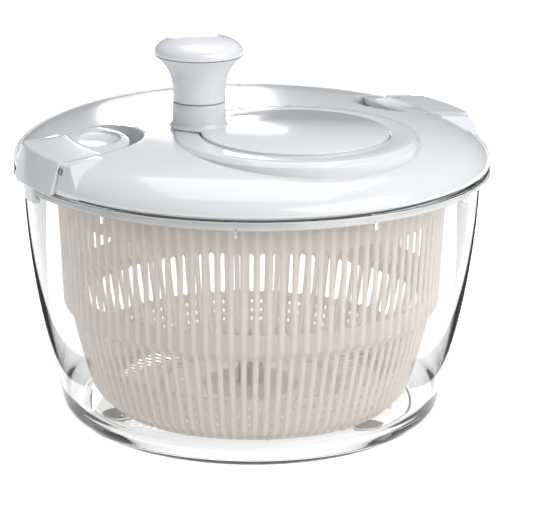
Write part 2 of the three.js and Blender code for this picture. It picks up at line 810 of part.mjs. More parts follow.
function makeCrankPlate() {
  const disc = turned([
    [0, discBottom],
    [discRadius - 0.4, discBottom],
    [discRadius, discBottom + 0.6],
    [discRadius, discTop - 0.8],
    [discRadius - 1.2, discTop],
    [0, discTop],
  ], 36).translate(0, -crankOffset, 0);
  const lobeBottom = plinthTop + gap;
  const lobe = turned([
    [0, lobeBottom],
    [lobeRadius, lobeBottom],
    [lobeRadius, discTop - 0.2],
    [knobBossRadius + 0.9, discTop + 0.9],
    [knobBossRadius, discTop + 2.6],
    [knobBossRadius, bossTop],
    [0, bossTop],
  ], 20).translate(knobX, knobY, 0);
  const neckLength = crankArm;
  const neck = box(discRadius * 0.7, neckLength, -lobeRadius, lobeRadius, lobeBottom, discTop - 0.1);
  neck.rotateZ(degrees(crankAngle)).translate(0, -crankOffset, 0);
  const stem = rod(stemRadius, gearTop + 0.6, discBottom + 1, smallFacets, 0, -crankOffset);
  const key = hexRod(stemRadius - 0.15, gearBottom - 0.4, gearTop + 1).translate(0, -crankOffset, 0);
  const pilot = rod(screwShank + gap, gearBottom - 2, gearBottom + 10, 12, 0, -crankOffset);
  const spindleBore = rod(
    spindleRadius + gap, lobeBottom - 1, bossTop + 1, 16, knobX, knobY,
  );
  const flangeBore = rod(spindleRadius + 2.8, lobeBottom - 1, lobeBottom + 3, 16, knobX, knobY);
  let plate = join(disc, lobe, neck, stem, key);
  plate = plate.subtract(solid(pilot)).subtract(solid(spindleBore));
  return plate.subtract(solid(flangeBore));
}

const gripBottom = bossTop + 0.5;
const gripTop = gripBottom + gripHeight;

function makeKnobSpindle() {
  const flangeTop = plinthTop + gap + 2.7;
  return turned([
    [0, plinthTop + gap],
    [spindleRadius + 2.5, plinthTop + gap],
    [spindleRadius + 2.5, flangeTop],
    [spindleRadius, flangeTop],
    [spindleRadius, gripTop - 4],
    [0, gripTop - 4],
  ], 16).translate(knobX, knobY, 0);
}

// The grip's outside: a narrow waist that flares like a trumpet towards the cap.
function gripRadius(share) {
  const waist = gripWaist + 0.35 * (1 - share) ** 6;
  return waist + (gripFlare - gripWaist) * share ** 3.2;
}

function makeKnobGrip() {
  const outer = [];
  const steps = 7;
  for (let i = 0; i <= steps; i += 1) {
    const share = i / steps;
    outer.push([gripRadius(share), gripBottom + gripHeight * share]);
  }
  const bore = spindleRadius + running;
  return turned([
    [bore, gripBottom],
    ...outer,
    [spindleRadius + 6, gripTop],
    [spindleRadius + 6, gripTop - 5],
    [bore, gripTop - 5],
  ], 20).translate(knobX, knobY, 0);
}

function makeKnobCap() {
  const bottom = gripTop + gap;
  const dome = [];
  const steps = 6;
  for (let i = 0; i <= steps; i += 1) {
    const turn = degrees((90 * i) / steps);
    const r = gripFlare * Math.cos(turn) ** 0.85;
    dome.push([i === steps ? 0 : r, bottom + 1.2 + (capHeight - 1.2) * Math.sin(turn)]);
  }
  return turned([
    [0, bottom],
    [gripFlare - 0.6, bottom],
    ...dome,
  ], 20).translate(knobX, knobY, 0);
}

function makeKnobRetainer() {
  const bottom = gripTop - 4 + gap;
  return turned([
    [0, bottom],
    [spindleRadius + 2.6, bottom],
    [spindleRadius + 2.6, bottom + 1.2],
    [2.6, bottom + 2.6],
    [0, bottom + 2.6],
  ], 16).translate(knobX, knobY, 0);
}

addPiece('crank_plate', makeCrankPlate(), 'white');
addPiece('crank_bush', turned([
  [stemRadius + running, gearTop + 2.7],
  [stemRadius + running + bushWall, gearTop + 2.7],
  [stemRadius + running + bushWall, pocketFloor - 0.2],
  [stemRadius + running, pocketFloor - 0.2],
], smallFacets).translate(0, -crankOffset, 0), 'brass');
addPiece(
  'crank_washer',
  washer(
    screwShank + gap, stemRadius + 3, gearBottom - 0.4 - gap - washerThickness,
    washerThickness, -crankOffset,
  ),
  'steel',
);
addPiece(
  'crank_screw',
  screwUp(screwShank, gearBottom - 0.4 - washerThickness - 2 * gap, 9, -crankOffset),
  'steel',
);
addPiece('knob_spindle', makeKnobSpindle(), 'steel');
addPiece('knob_retainer', makeKnobRetainer(), 'steel');
addPiece('knob_grip', makeKnobGrip(), 'white');
addPiece('knob_cap', makeKnobCap(), 'white');

export default part;
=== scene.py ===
"""Looks of a crank salad spinner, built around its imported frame.

Every length is in metres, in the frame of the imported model: +Z up along the spin axis, the latches on
the X axis and the crank's own axis towards -Y.
"""

import json
import logging
import math
from dataclasses import dataclass, field
from enum import Enum

import bpy
import numpy as np
from mathutils import Matrix, Vector


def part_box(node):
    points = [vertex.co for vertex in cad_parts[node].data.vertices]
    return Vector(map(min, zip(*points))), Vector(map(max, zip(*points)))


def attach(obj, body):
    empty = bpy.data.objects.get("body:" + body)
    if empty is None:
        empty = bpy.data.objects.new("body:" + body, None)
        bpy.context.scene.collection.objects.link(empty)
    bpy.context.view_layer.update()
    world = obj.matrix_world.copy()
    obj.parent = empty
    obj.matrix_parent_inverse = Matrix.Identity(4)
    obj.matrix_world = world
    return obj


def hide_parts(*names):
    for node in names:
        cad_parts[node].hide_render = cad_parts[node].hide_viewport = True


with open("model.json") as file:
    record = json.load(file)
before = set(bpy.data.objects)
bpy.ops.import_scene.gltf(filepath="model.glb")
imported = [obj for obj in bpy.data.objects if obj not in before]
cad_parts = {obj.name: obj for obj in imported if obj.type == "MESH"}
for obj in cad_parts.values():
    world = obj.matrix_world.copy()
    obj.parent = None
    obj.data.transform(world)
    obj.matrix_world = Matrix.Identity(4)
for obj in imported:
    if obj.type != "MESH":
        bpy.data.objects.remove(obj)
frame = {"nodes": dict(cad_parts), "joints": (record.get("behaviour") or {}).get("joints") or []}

log = logging.getLogger("salad_spinner")

MM = 0.001
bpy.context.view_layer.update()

Point = tuple[float, float]
Obj = bpy.types.Object


# ---------------------------------------------------------------- places read from the frame


def joint_place(name: str) -> Vector:
    """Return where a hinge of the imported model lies.

    Args:
        name: the joint's name.

    Returns:
        The point on its axis, in metres.
    """
    for joint in frame["joints"]:
        if joint["name"] == name:
            return Vector(joint["pos_m"])
    raise KeyError(name)


def low(node: str) -> Vector:
    """Return the lowest corner of a node's box."""
    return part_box(node)[0]


def high(node: str) -> Vector:
    """Return the highest corner of a node's box."""
    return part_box(node)[1]


@dataclass(frozen=True)
class Plan:
    """The places that several sub-assemblies share."""

    rim_radius: float = high("bowl").x
    rim_top: float = high("bowl").z
    lid_bottom: float = low("lid_cover").z
    plinth_top: float = high("lid_cover").z
    crank_y: float = joint_place("crank_spin").y
    knob: Vector = field(default_factory=lambda: joint_place("knob_spin"))
    latch_pivot: Vector = field(default_factory=lambda: joint_place("latch_right_press"))
    basket_top: float = high("basket").z
    gear_top: float = high("crank_gear").z
    base_floor_bottom: float = low("shaft_bush").z + 1.0 * MM

    @property
    def crank(self) -> Point:
        """Where the crank's axis stands."""
        return (0.0, self.crank_y)


# ---------------------------------------------------------------- outlines and meshes


def rounded(corners: list[tuple[float, float, float]], steps: int = 5) -> list[Point]:
    """Round the corners of an outline.

    Args:
        corners: points of the outline, each with the radius that its corner is rounded to.
        steps: how many segments an arc has.

    Returns:
        The outline's points, with an arc at each rounded corner.
    """
    points: list[Point] = []
    count = len(corners)
    for i, (x, z, radius) in enumerate(corners):
        here = Vector((x, z))
        before = Vector(corners[i - 1][:2]) - here
        after = Vector(corners[(i + 1) % count][:2]) - here
        if radius <= 0 or before.length < 1e-9 or after.length < 1e-9:
            points.append((x, z))
            continue
        half = before.angle(after) / 2
        reach = min(radius / math.tan(half), before.length * 0.49, after.length * 0.49)
        start = here + before.normalized() * reach
        end = here + after.normalized() * reach
        for k in range(steps + 1):
            t = k / steps
            mix = start * (1 - t) ** 2 + here * 2 * t * (1 - t) + end * t**2
            points.append((mix.x, mix.y))
    return points


def mesh_object(name: str, points: list, faces: list) -> Obj:
    """Make a mesh object at the origin.

    Args:
        name: the piece's name.
        points: vertex places.
        faces: vertex indices of each face.

    Returns:
        The new object, linked to the scene.
    """
    mesh = bpy.data.meshes.new(name)
    mesh.from_pydata([tuple(p) for p in points], [], [tuple(f) for f in faces])
    mesh.validate()
    mesh.update()
    made = bpy.data.objects.new(name, mesh)
    bpy.context.scene.collection.objects.link(made)
    return made


def revolve(
    name: str, outline: list[Point], around: Point = (0.0, 0.0), facets: int = 160, turn: float = 0.0
) -> Obj:
    """Turn a closed outline about a vertical axis into a closed solid.

    Args:
        name: the piece's name.
        outline: radius and height of each point, in order round the section.
        around: where the axis stands.
        facets: how many steps a turn has.
        turn: angle of the first step, in radians.

    Returns:
        The solid, with its faces pointing out.
    """
    area = sum(
        a[0] * b[1] - b[0] * a[1] for a, b in zip(outline, outline[1:] + outline[:1])
    )
    ring = outline if area > 0 else outline[::-1]
    points, columns = [], []
    for r, z in ring:
        if r < 1e-7:
            columns.append([len(points)] * facets)
            points.append((around[0], around[1], z))
            continue
        columns.append(list(range(len(points), len(points) + facets)))
        for i in range(facets):
            angle = turn + 2 * math.pi * i / facets
            points.append((around[0] + r * math.cos(angle), around[1] + r * math.sin(angle), z))
    faces = []
    for k in range(len(ring)):
        one, two = columns[k], columns[(k + 1) % len(ring)]
        if ring[k][0] < 1e-7 and ring[(k + 1) % len(ring)][0] < 1e-7:
            continue
        for i in range(facets):
            j = (i + 1) % facets
            corners = [one[i], one[j], two[j], two[i]]
            kept = [c for n, c in enumerate(corners) if c != corners[n - 1]]
            faces.append(kept)
    return mesh_object(name, points, faces)


def rod(
    name: str, radius: float, bottom: float, top: float, around: Point = (0.0, 0.0), facets: int = 48,
    turn: float = 0.0,
) -> Obj:
    """Make an upright rod, which is also the cutter of a round hole."""
    return revolve(name, [(0, bottom), (radius, bottom), (radius, top), (0, top)], around, facets, turn)


def prism(name: str, outline: list[Point], bottom: float, top: float) -> Obj:
    """Raise a flat outline into a closed solid.

    Args:
        name: the piece's name.
        outline: X and Y of its points, anticlockwise.
        bottom: height of its underside.
        top: height of its upper side.

    Returns:
        The solid.
    """
    count = len(outline)
    points = [(x, y, bottom) for x, y in outline] + [(x, y, top) for x, y in outline]
    faces = [tuple(range(count))[::-1], tuple(range(count, 2 * count))]
    for i in range(count):
        j = (i + 1) % count
        faces.append((i, j, count + j, count + i))
    return mesh_object(name, points, faces)


def block(name: str, lower: tuple, upper: tuple, turn: float = 0.0) -> Obj:
    """Make a box between two corners, turned about the Z axis by an angle in radians."""
    outline = [(lower[0], lower[1]), (upper[0], lower[1]), (upper[0], upper[1]), (lower[0], upper[1])]
    made = prism(name, outline, lower[2], upper[2])
    made.data.transform(Matrix.Rotation(turn, 4, "Z"))
    return made


def cross_rod(name: str, radius: float, half: float, x: float, z: float) -> Obj:
    """Make a rod that lies along Y."""
    made = rod(name, radius, -half, half, facets=32)
    lay = Matrix.Translation((x, 0, z)) @ Matrix.Rotation(math.pi / 2, 4, "X")
    made.data.transform(lay)
    return made


class Cut(Enum):
    """What a boolean does with its second solid."""

    JOIN = "UNION"
    REMOVE = "DIFFERENCE"
    KEEP = "INTERSECT"


def settle(piece: Obj) -> Obj:
    """Replace a piece's mesh by what its modifiers make of it, and drop the modifiers."""
    graph = bpy.context.evaluated_depsgraph_get()
    done = bpy.data.meshes.new_from_object(piece.evaluated_get(graph))
    piece.modifiers.clear()
    old = piece.data
    piece.data = done
    done.name = piece.name
    bpy.data.meshes.remove(old)
    return piece


def combine(piece: Obj, how: Cut, *others: Obj) -> Obj:
    """Join, cut or intersect a solid with others, which are used up.

    Args:
        piece: the solid that stays.
        how: the boolean.
        others: the solids that act on it.

    Returns:
        The same object with its new mesh.
    """
    for other in others:
        step = piece.modifiers.new("combine", "BOOLEAN")
        step.operation = how.value
        step.solver = "MANIFOLD"
        step.object = other
        settle(piece)
        bpy.data.objects.remove(other)
    return piece


def smooth(piece: Obj, sharp: float = 32.0) -> Obj:
    """Shade a piece smooth, with edges over an angle in degrees kept sharp."""
    piece.data.shade_smooth()
    piece.data.set_sharp_from_angle(angle=math.radians(sharp))
    return piece


def soften(piece: Obj, width: float, sharp: float = 38.0, segments: int = 2) -> Obj:
    """Bevel the sharp edges of a solid.

    Args:
        piece: the solid.
        width: how wide the bevel is.
        sharp: edges that turn by more than this many degrees are bevelled.
        segments: faces across the bevel.

    Returns:
        The same object.
    """
    weld = piece.modifiers.new("weld", "WELD")
    weld.merge_threshold = 0.02 * MM
    bevel = piece.modifiers.new("soften", "BEVEL")
    bevel.limit_method = "ANGLE"
    bevel.angle_limit = math.radians(sharp)
    bevel.width = width
    bevel.segments = segments
    bevel.use_clamp_overlap = True
    return settle(piece)


# ---------------------------------------------------------------- shader expressions


class Maths:
    """A shader value that adds Math nodes when it is used in an expression."""

    def __init__(self, graph: "Graph", socket: bpy.types.NodeSocket) -> None:
        """Wrap a socket of a graph."""
        self.graph = graph
        self.socket = socket

    def _apply(self, operation: str, *values: object) -> "Maths":
        """Add one Math node and wrap its result."""
        node = self.graph.node("ShaderNodeMath", {"operation": operation}, dict(enumerate(values)))
        return Maths(self.graph, node.outputs[0])

    def __add__(self, other: object) -> "Maths":
        """Add."""
        return self._apply("ADD", self, other)

    __radd__ = __add__

    def __mul__(self, other: object) -> "Maths":
        """Multiply."""
        return self._apply("MULTIPLY", self, other)

    __rmul__ = __mul__

    def __sub__(self, other: object) -> "Maths":
        """Take another value from this one."""
        return self._apply("SUBTRACT", self, other)

    def __rsub__(self, other: object) -> "Maths":
        """Take this value from another."""
        return self._apply("SUBTRACT", other, self)

    def __pow__(self, other: object) -> "Maths":
        """Raise to a power."""
        return self._apply("POWER", self, other)

    def cosine(self) -> "Maths":
        """Return the cosine of an angle in radians."""
        return self._apply("COSINE", self)

    def clamp(self) -> "Maths":
        """Hold the value between 0 and 1."""
        node = self.graph.node(
            "ShaderNodeMath", {"operation": "ADD", "use_clamp": True}, {0: self, 1: 0.0}
        )
        return Maths(self.graph, node.outputs[0])


class Graph:
    """A material's node tree, built by method calls."""

    def __init__(self, name: str) -> None:
        """Start a material with an empty tree."""
        self.material = bpy.data.materials.new(name)
        self.material.use_nodes = True
        self.tree = self.material.node_tree
        self.tree.nodes.clear()

    def node(self, kind: str, settings: dict | None = None, inputs: dict | None = None) -> bpy.types.Node:
        """Add a node.

        Args:
            kind: the node's type.
            settings: attributes set first.
            inputs: socket name or index to a value, a socket or a Maths.

        Returns:
            The node.
        """
        made = self.tree.nodes.new(kind)
        for key, value in (settings or {}).items():
            setattr(made, key, value)
        for key, value in (inputs or {}).items():
            socket = made.inputs[key]
            source = value.socket if isinstance(value, Maths) else value
            if isinstance(source, bpy.types.NodeSocket):
                self.tree.links.new(source, socket)
            else:
                socket.default_value = source
        return made

    def place(self, scale: tuple[float, float, float] = (1, 1, 1)) -> bpy.types.NodeSocket:
        """Return object coordinates stretched by a scale on each axis."""
        where = self.node("ShaderNodeTexCoord")
        mapping = self.node(
            "ShaderNodeMapping", None, {"Vector": where.outputs["Object"], "Scale": scale}
        )
        return mapping.outputs[0]

    def noise(self, scale: float, detail: float = 2.0, stretch: tuple = (1, 1, 1)) -> Maths:
        """Return a noise pattern from 0 to 1."""
        made = self.node(
            "ShaderNodeTexNoise", None,
            {"Vector": self.place(stretch), "Scale": scale, "Detail": detail, "Roughness": 0.55},
        )
        return Maths(self, made.outputs["Fac"])

    def angle(self) -> Maths:
        """Return the angle round the Z axis in radians."""
        split = self.node("ShaderNodeSeparateXYZ", None, {0: self.place()})
        node = self.node(
            "ShaderNodeMath", {"operation": "ARCTAN2"}, {0: split.outputs["Y"], 1: split.outputs["X"]}
        )
        return Maths(self, node.outputs[0])

    def blend(self, share: Maths, one: tuple, two: tuple) -> bpy.types.NodeSocket:
        """Return a colour between two by a share."""
        made = self.node(
            "ShaderNodeMix", {"data_type": "RGBA"}, {"Factor": share, 6: (*one, 1.0), 7: (*two, 1.0)}
        )
        return made.outputs[2]

    def bump(self, height: Maths, depth: float, strength: float = 1.0) -> bpy.types.NodeSocket:
        """Return a normal bent by a height pattern of a depth in metres."""
        made = self.node(
            "ShaderNodeBump", None, {"Height": height, "Distance": depth, "Strength": strength}
        )
        return made.outputs[0]

    def finish(self, shader: bpy.types.NodeSocket) -> bpy.types.Material:
        """Wire the surface and return the material."""
        self.node("ShaderNodeOutputMaterial", None, {"Surface": shader})
        return self.material


# ---------------------------------------------------------------- finishes


@dataclass(frozen=True)
class GlossPlastic:
    """Injection-moulded ABS with a polished skin: faint flow tint, fine ripple and handling haze."""

    name: str
    tone: tuple[float, float, float]
    roughness: float = 0.16
    ripple: float = 0.010 * MM
    coat: float = 0.35

    def material(self) -> bpy.types.Material:
        """Build the material."""
        g = Graph(self.name)
        darker = tuple(c * 0.965 for c in self.tone)
        flow = g.noise(9.0, 3.0)
        haze = g.noise(70.0, 4.0)
        fine = g.noise(900.0, 2.0)
        shader = g.node(
            "ShaderNodeBsdfPrincipled", None,
            {
                "Base Color": g.blend(flow, darker, self.tone),
                "Roughness": (self.roughness + 0.07 * (haze - 0.5)).clamp(),
                "IOR": 1.52,
                "Coat Weight": self.coat,
                "Coat Roughness": 0.06,
                "Normal": g.bump(haze * 0.6 + fine * 0.4, self.ripple),
            },
        )
        return g.finish(shader.outputs[0])


@dataclass(frozen=True)
class ClearPlastic:
    """Polished clear plastic that bends light, and lets lamps through to what stands behind it."""

    name: str
    tint: tuple[float, float, float] = (0.975, 0.98, 0.98)
    ior: float = 1.5

    def material(self) -> bpy.types.Material:
        """Build the material."""
        g = Graph(self.name)
        wave = g.noise(22.0, 1.0, (1, 1, 0.35))
        glass = g.node(
            "ShaderNodeBsdfPrincipled", None,
            {
                "Base Color": (*self.tint, 1.0),
                "Roughness": 0.015,
                "IOR": self.ior,
                "Transmission Weight": 1.0,
                "Normal": g.bump(wave, 0.02 * MM),
            },
        )
        lamp = g.node("ShaderNodeBsdfTransparent", None, {"Color": (0.97, 0.97, 0.97, 1.0)})
        path = g.node("ShaderNodeLightPath")
        mix = g.node(
            "ShaderNodeMixShader", None,
            {0: path.outputs["Is Shadow Ray"], 1: glass.outputs[0], 2: lamp.outputs[0]},
        )
        return g.finish(mix.outputs[0])


@dataclass(frozen=True)
class FrostedPlastic:
    """Thin translucent polypropylene: light comes through it, its skin has a fine satin grain, and the grooves
    between its ribs are painted darker as painted shade of the fluting.
    """

    name: str
    tone: tuple[float, float, float]
    through: float = 0.5
    clarity: float = 0.4
    roughness: float = 0.3
    columns: int = 100
    # Share of the tone painted into the grooves between the ribs: painted shade.
    groove_shade: tuple[float, float, float] = (0.86, 0.825, 0.78)

    def material(self) -> bpy.types.Material:
        """Build the material."""
        g = Graph(self.name)
        cloud = g.noise(16.0, 3.0, (1, 1, 0.5))
        grain = g.noise(1400.0, 2.0)
        # Painted shade: the colour is darker in the middle of each column between the ribs and lighter on the rib
        # tops, standing in for the light and shade of the fluting.
        ridge = (0.5 - 0.5 * (self.columns * g.angle()).cosine()) ** 2
        groove_shade_colour = tuple(c * share for c, share in zip(self.tone, self.groove_shade))
        colour = g.blend((ridge * 0.85 + cloud * 0.15).clamp(), groove_shade_colour, self.tone)
        normal = g.bump(grain, 0.012 * MM)
        skin = g.node(
            "ShaderNodeBsdfPrincipled", None,
            {
                "Base Color": colour,
                "Roughness": (self.roughness + 0.1 * (cloud - 0.5)).clamp(),
                "IOR": 1.3,
                "Transmission Weight": self.clarity,
                "Normal": normal,
            },
        )
        glow = g.node("ShaderNodeBsdfTranslucent", None, {"Color": colour, "Normal": normal})
        mix = g.node(
            "ShaderNodeMixShader", None, {0: self.through, 1: skin.outputs[0], 2: glow.outputs[0]}
        )
        return g.finish(mix.outputs[0])


@dataclass(frozen=True)
class SatinPlastic:
    """Plain moulded plastic of the hidden parts, with a fine spark-eroded grain."""

    name: str
    tone: tuple[float, float, float]
    roughness: float = 0.45

    def material(self) -> bpy.types.Material:
        """Build the material."""
        g = Graph(self.name)
        cloud = g.noise(30.0, 3.0)
        grain = g.noise(1100.0, 3.0)
        shader = g.node(
            "ShaderNodeBsdfPrincipled", None,
            {
                "Base Color": g.blend(cloud, tuple(c * 0.95 for c in self.tone), self.tone),
                "Roughness": (self.roughness + 0.14 * (grain - 0.5)).clamp(),
                "Normal": g.bump(grain, 0.02 * MM),
            },
        )
        return g.finish(shader.outputs[0])


@dataclass(frozen=True)
class TurnedMetal:
    """Lathe-turned metal: fine rings round the vertical axis and a little dulling."""

    name: str
    tone: tuple[float, float, float]
    roughness: float = 0.28

    def material(self) -> bpy.types.Material:
        """Build the material."""
        g = Graph(self.name)
        rings = g.noise(700.0, 2.0, (0.05, 0.05, 6.0))
        dull = g.noise(120.0, 3.0)
        shader = g.node(
            "ShaderNodeBsdfPrincipled", None,
            {
                "Base Color": g.blend(dull, tuple(c * 0.8 for c in self.tone), self.tone),
                "Metallic": 1.0,
                "Roughness": (self.roughness + 0.2 * (rings - 0.5) + 0.12 * (dull - 0.5)).clamp(),
                "Normal": g.bump(rings, 0.01 * MM),
            },
        )
        return g.finish(shader.outputs[0])


@dataclass(frozen=True)
class SoftRubber:
    """Matt rubber with a dusty bloom and a pebbled skin."""

    name: str
    tone: tuple[float, float, float]

    def material(self) -> bpy.types.Material:
        """Build the material."""
        g = Graph(self.name)
        bloom = g.noise(180.0, 4.0)
        pebble = g.noise(1500.0, 2.0)
        shader = g.node(
            "ShaderNodeBsdfPrincipled", None,
            {
                "Base Color": g.blend(bloom, self.tone, tuple(min(c * 1.5, 1) for c in self.tone)),
                "Roughness": (0.7 + 0.25 * (bloom - 0.5)).clamp(),
                "Normal": g.bump(pebble, 0.04 * MM),
            },
        )
        return g.finish(shader.outputs[0])


class Finish(Enum):
    """The finishes of the spinner, each with the record's slot that it belongs to."""

    CLEAR = ("bowl_clear", ClearPlastic("polished_clear_plastic"))
    FROSTED = ("basket_frosted", FrostedPlastic("frosted_polypropylene", (1.0, 0.955, 0.91)))
    LID = ("lid_white", GlossPlastic("gloss_white_lid", (0.665, 0.685, 0.70)))
    LATCH = ("latch_white", GlossPlastic("gloss_white_latch", (0.665, 0.685, 0.70)))
    CRANK = ("crank_white", GlossPlastic("gloss_white_crank", (0.68, 0.70, 0.715)))
    KNOB = ("knob_white", GlossPlastic("gloss_white_knob", (0.70, 0.705, 0.73), roughness=0.2))
    INNER = ("inner_plastic", SatinPlastic("satin_white_inner", (0.78, 0.78, 0.77)))
    GEAR = ("gear_acetal", SatinPlastic("satin_acetal", (0.84, 0.83, 0.79), roughness=0.36))
    STEEL = ("steel", TurnedMetal("turned_steel", (0.60, 0.60, 0.59)))
    SPRING = ("spring_steel", TurnedMetal("spring_wire", (0.50, 0.50, 0.50), roughness=0.35))
    BRASS = ("brass", TurnedMetal("turned_brass", (0.74, 0.58, 0.30)))
    RUBBER = ("foot_rubber", SoftRubber("grey_brown_rubber", (0.23, 0.19, 0.165)))

    @property
    def slot(self) -> str:
        """The record's material slot."""
        return self.value[0]

    def material(self) -> bpy.types.Material:
        """The material, built the first time that it is asked for."""
        return bpy.data.materials.get(self.value[1].name) or self.value[1].material()


def dress(piece: Obj, finish: Finish) -> Obj:
    """Give a piece one finish."""
    piece.data.materials.clear()
    piece.data.materials.append(finish.material())
    return piece


def place(piece: Obj, body: str, finish: Finish, *stands_for: str) -> Obj:
    """Finish a piece: its material, the body that it rides on, and the nodes that it stands for.

    Args:
        piece: the finished mesh.
        body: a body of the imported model.
        finish: its finish.
        stands_for: CAD nodes that it replaces.

    Returns:
        The piece.
    """
    dress(piece, finish)
    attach(piece, body)
    if stands_for:
        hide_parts(*stands_for)
    log.info("%s: %d faces on %s", piece.name, len(piece.data.polygons), body)
    return piece


# ---------------------------------------------------------------- repeats by Geometry Nodes


class Repeat:
    """A Geometry Nodes tree that sets copies of one piece round the Z axis."""

    def __init__(self) -> None:
        """Build the tree: copies on a ring, turned to face outwards, made real and welded."""
        tree = bpy.data.node_groups.new("repeat_round_axis", "GeometryNodeTree")
        self.tree = tree
        face = tree.interface
        face.new_socket("Geometry", in_out="INPUT", socket_type="NodeSocketGeometry")
        face.new_socket("Count", in_out="INPUT", socket_type="NodeSocketInt")
        face.new_socket("First Angle", in_out="INPUT", socket_type="NodeSocketFloat")
        face.new_socket("Weld Distance", in_out="INPUT", socket_type="NodeSocketFloat")
        face.new_socket("Material", in_out="INPUT", socket_type="NodeSocketMaterial")
        face.new_socket("Geometry", in_out="OUTPUT", socket_type="NodeSocketGeometry")
        start = tree.nodes.new("NodeGroupInput")
        spots = tree.nodes.new("GeometryNodePoints")
        index = tree.nodes.new("GeometryNodeInputIndex")
        step = self._maths("DIVIDE", 2 * math.pi, start.outputs["Count"])
        along = self._maths("MULTIPLY", index.outputs[0], step)
        angle = self._maths("ADD", along, start.outputs["First Angle"])
        turn = tree.nodes.new("ShaderNodeCombineXYZ")
        copies = tree.nodes.new("GeometryNodeInstanceOnPoints")
        real = tree.nodes.new("GeometryNodeRealizeInstances")
        weld = tree.nodes.new("GeometryNodeMergeByDistance")
        coat = tree.nodes.new("GeometryNodeSetMaterial")
        end = tree.nodes.new("NodeGroupOutput")
        link = tree.links.new
        link(start.outputs["Count"], spots.inputs["Count"])
        link(angle, turn.inputs["Z"])
        link(spots.outputs[0], copies.inputs["Points"])
        link(start.outputs["Geometry"], copies.inputs["Instance"])
        link(turn.outputs[0], copies.inputs["Rotation"])
        link(copies.outputs[0], real.inputs[0])
        link(real.outputs[0], weld.inputs["Geometry"])
        link(start.outputs["Weld Distance"], weld.inputs["Distance"])
        link(weld.outputs[0], coat.inputs["Geometry"])
        link(start.outputs["Material"], coat.inputs["Material"])
        link(coat.outputs[0], end.inputs[0])

    def _maths(self, operation: str, one: object, two: object) -> bpy.types.NodeSocket:
        """Add one Math node and return its result."""
        node = self.tree.nodes.new("ShaderNodeMath")
        node.operation = operation
        for socket, value in zip(node.inputs, (one, two)):
            if isinstance(value, bpy.types.NodeSocket):
                self.tree.links.new(value, socket)
            else:
                socket.default_value = value
        return node.outputs[0]

    def run(self, piece: Obj, count: int, finish: Finish, first: float = 0.0, weld: float = 1e-5) -> Obj:
        """Repeat a piece round the axis and make the result a plain mesh.

        Args:
            piece: one copy, where angle 0 is.
            count: how many copies.
            finish: the finish of the result.
            first: angle of the first copy, in radians.
            weld: points closer than this are merged.

        Returns:
            The same object, holding every copy.
        """
        modifier = piece.modifiers.new("repeat", "NODES")
        modifier.node_group = self.tree
        values = {
            "Count": count,
            "First Angle": first,
            "Weld Distance": weld,
            "Material": finish.material(),
        }
        for item in self.tree.interface.items_tree:
            if item.in_out == "INPUT" and item.name in values:
                modifier[item.identifier] = values[item.name]
        return settle(piece)


# ---------------------------------------------------------------- bowl


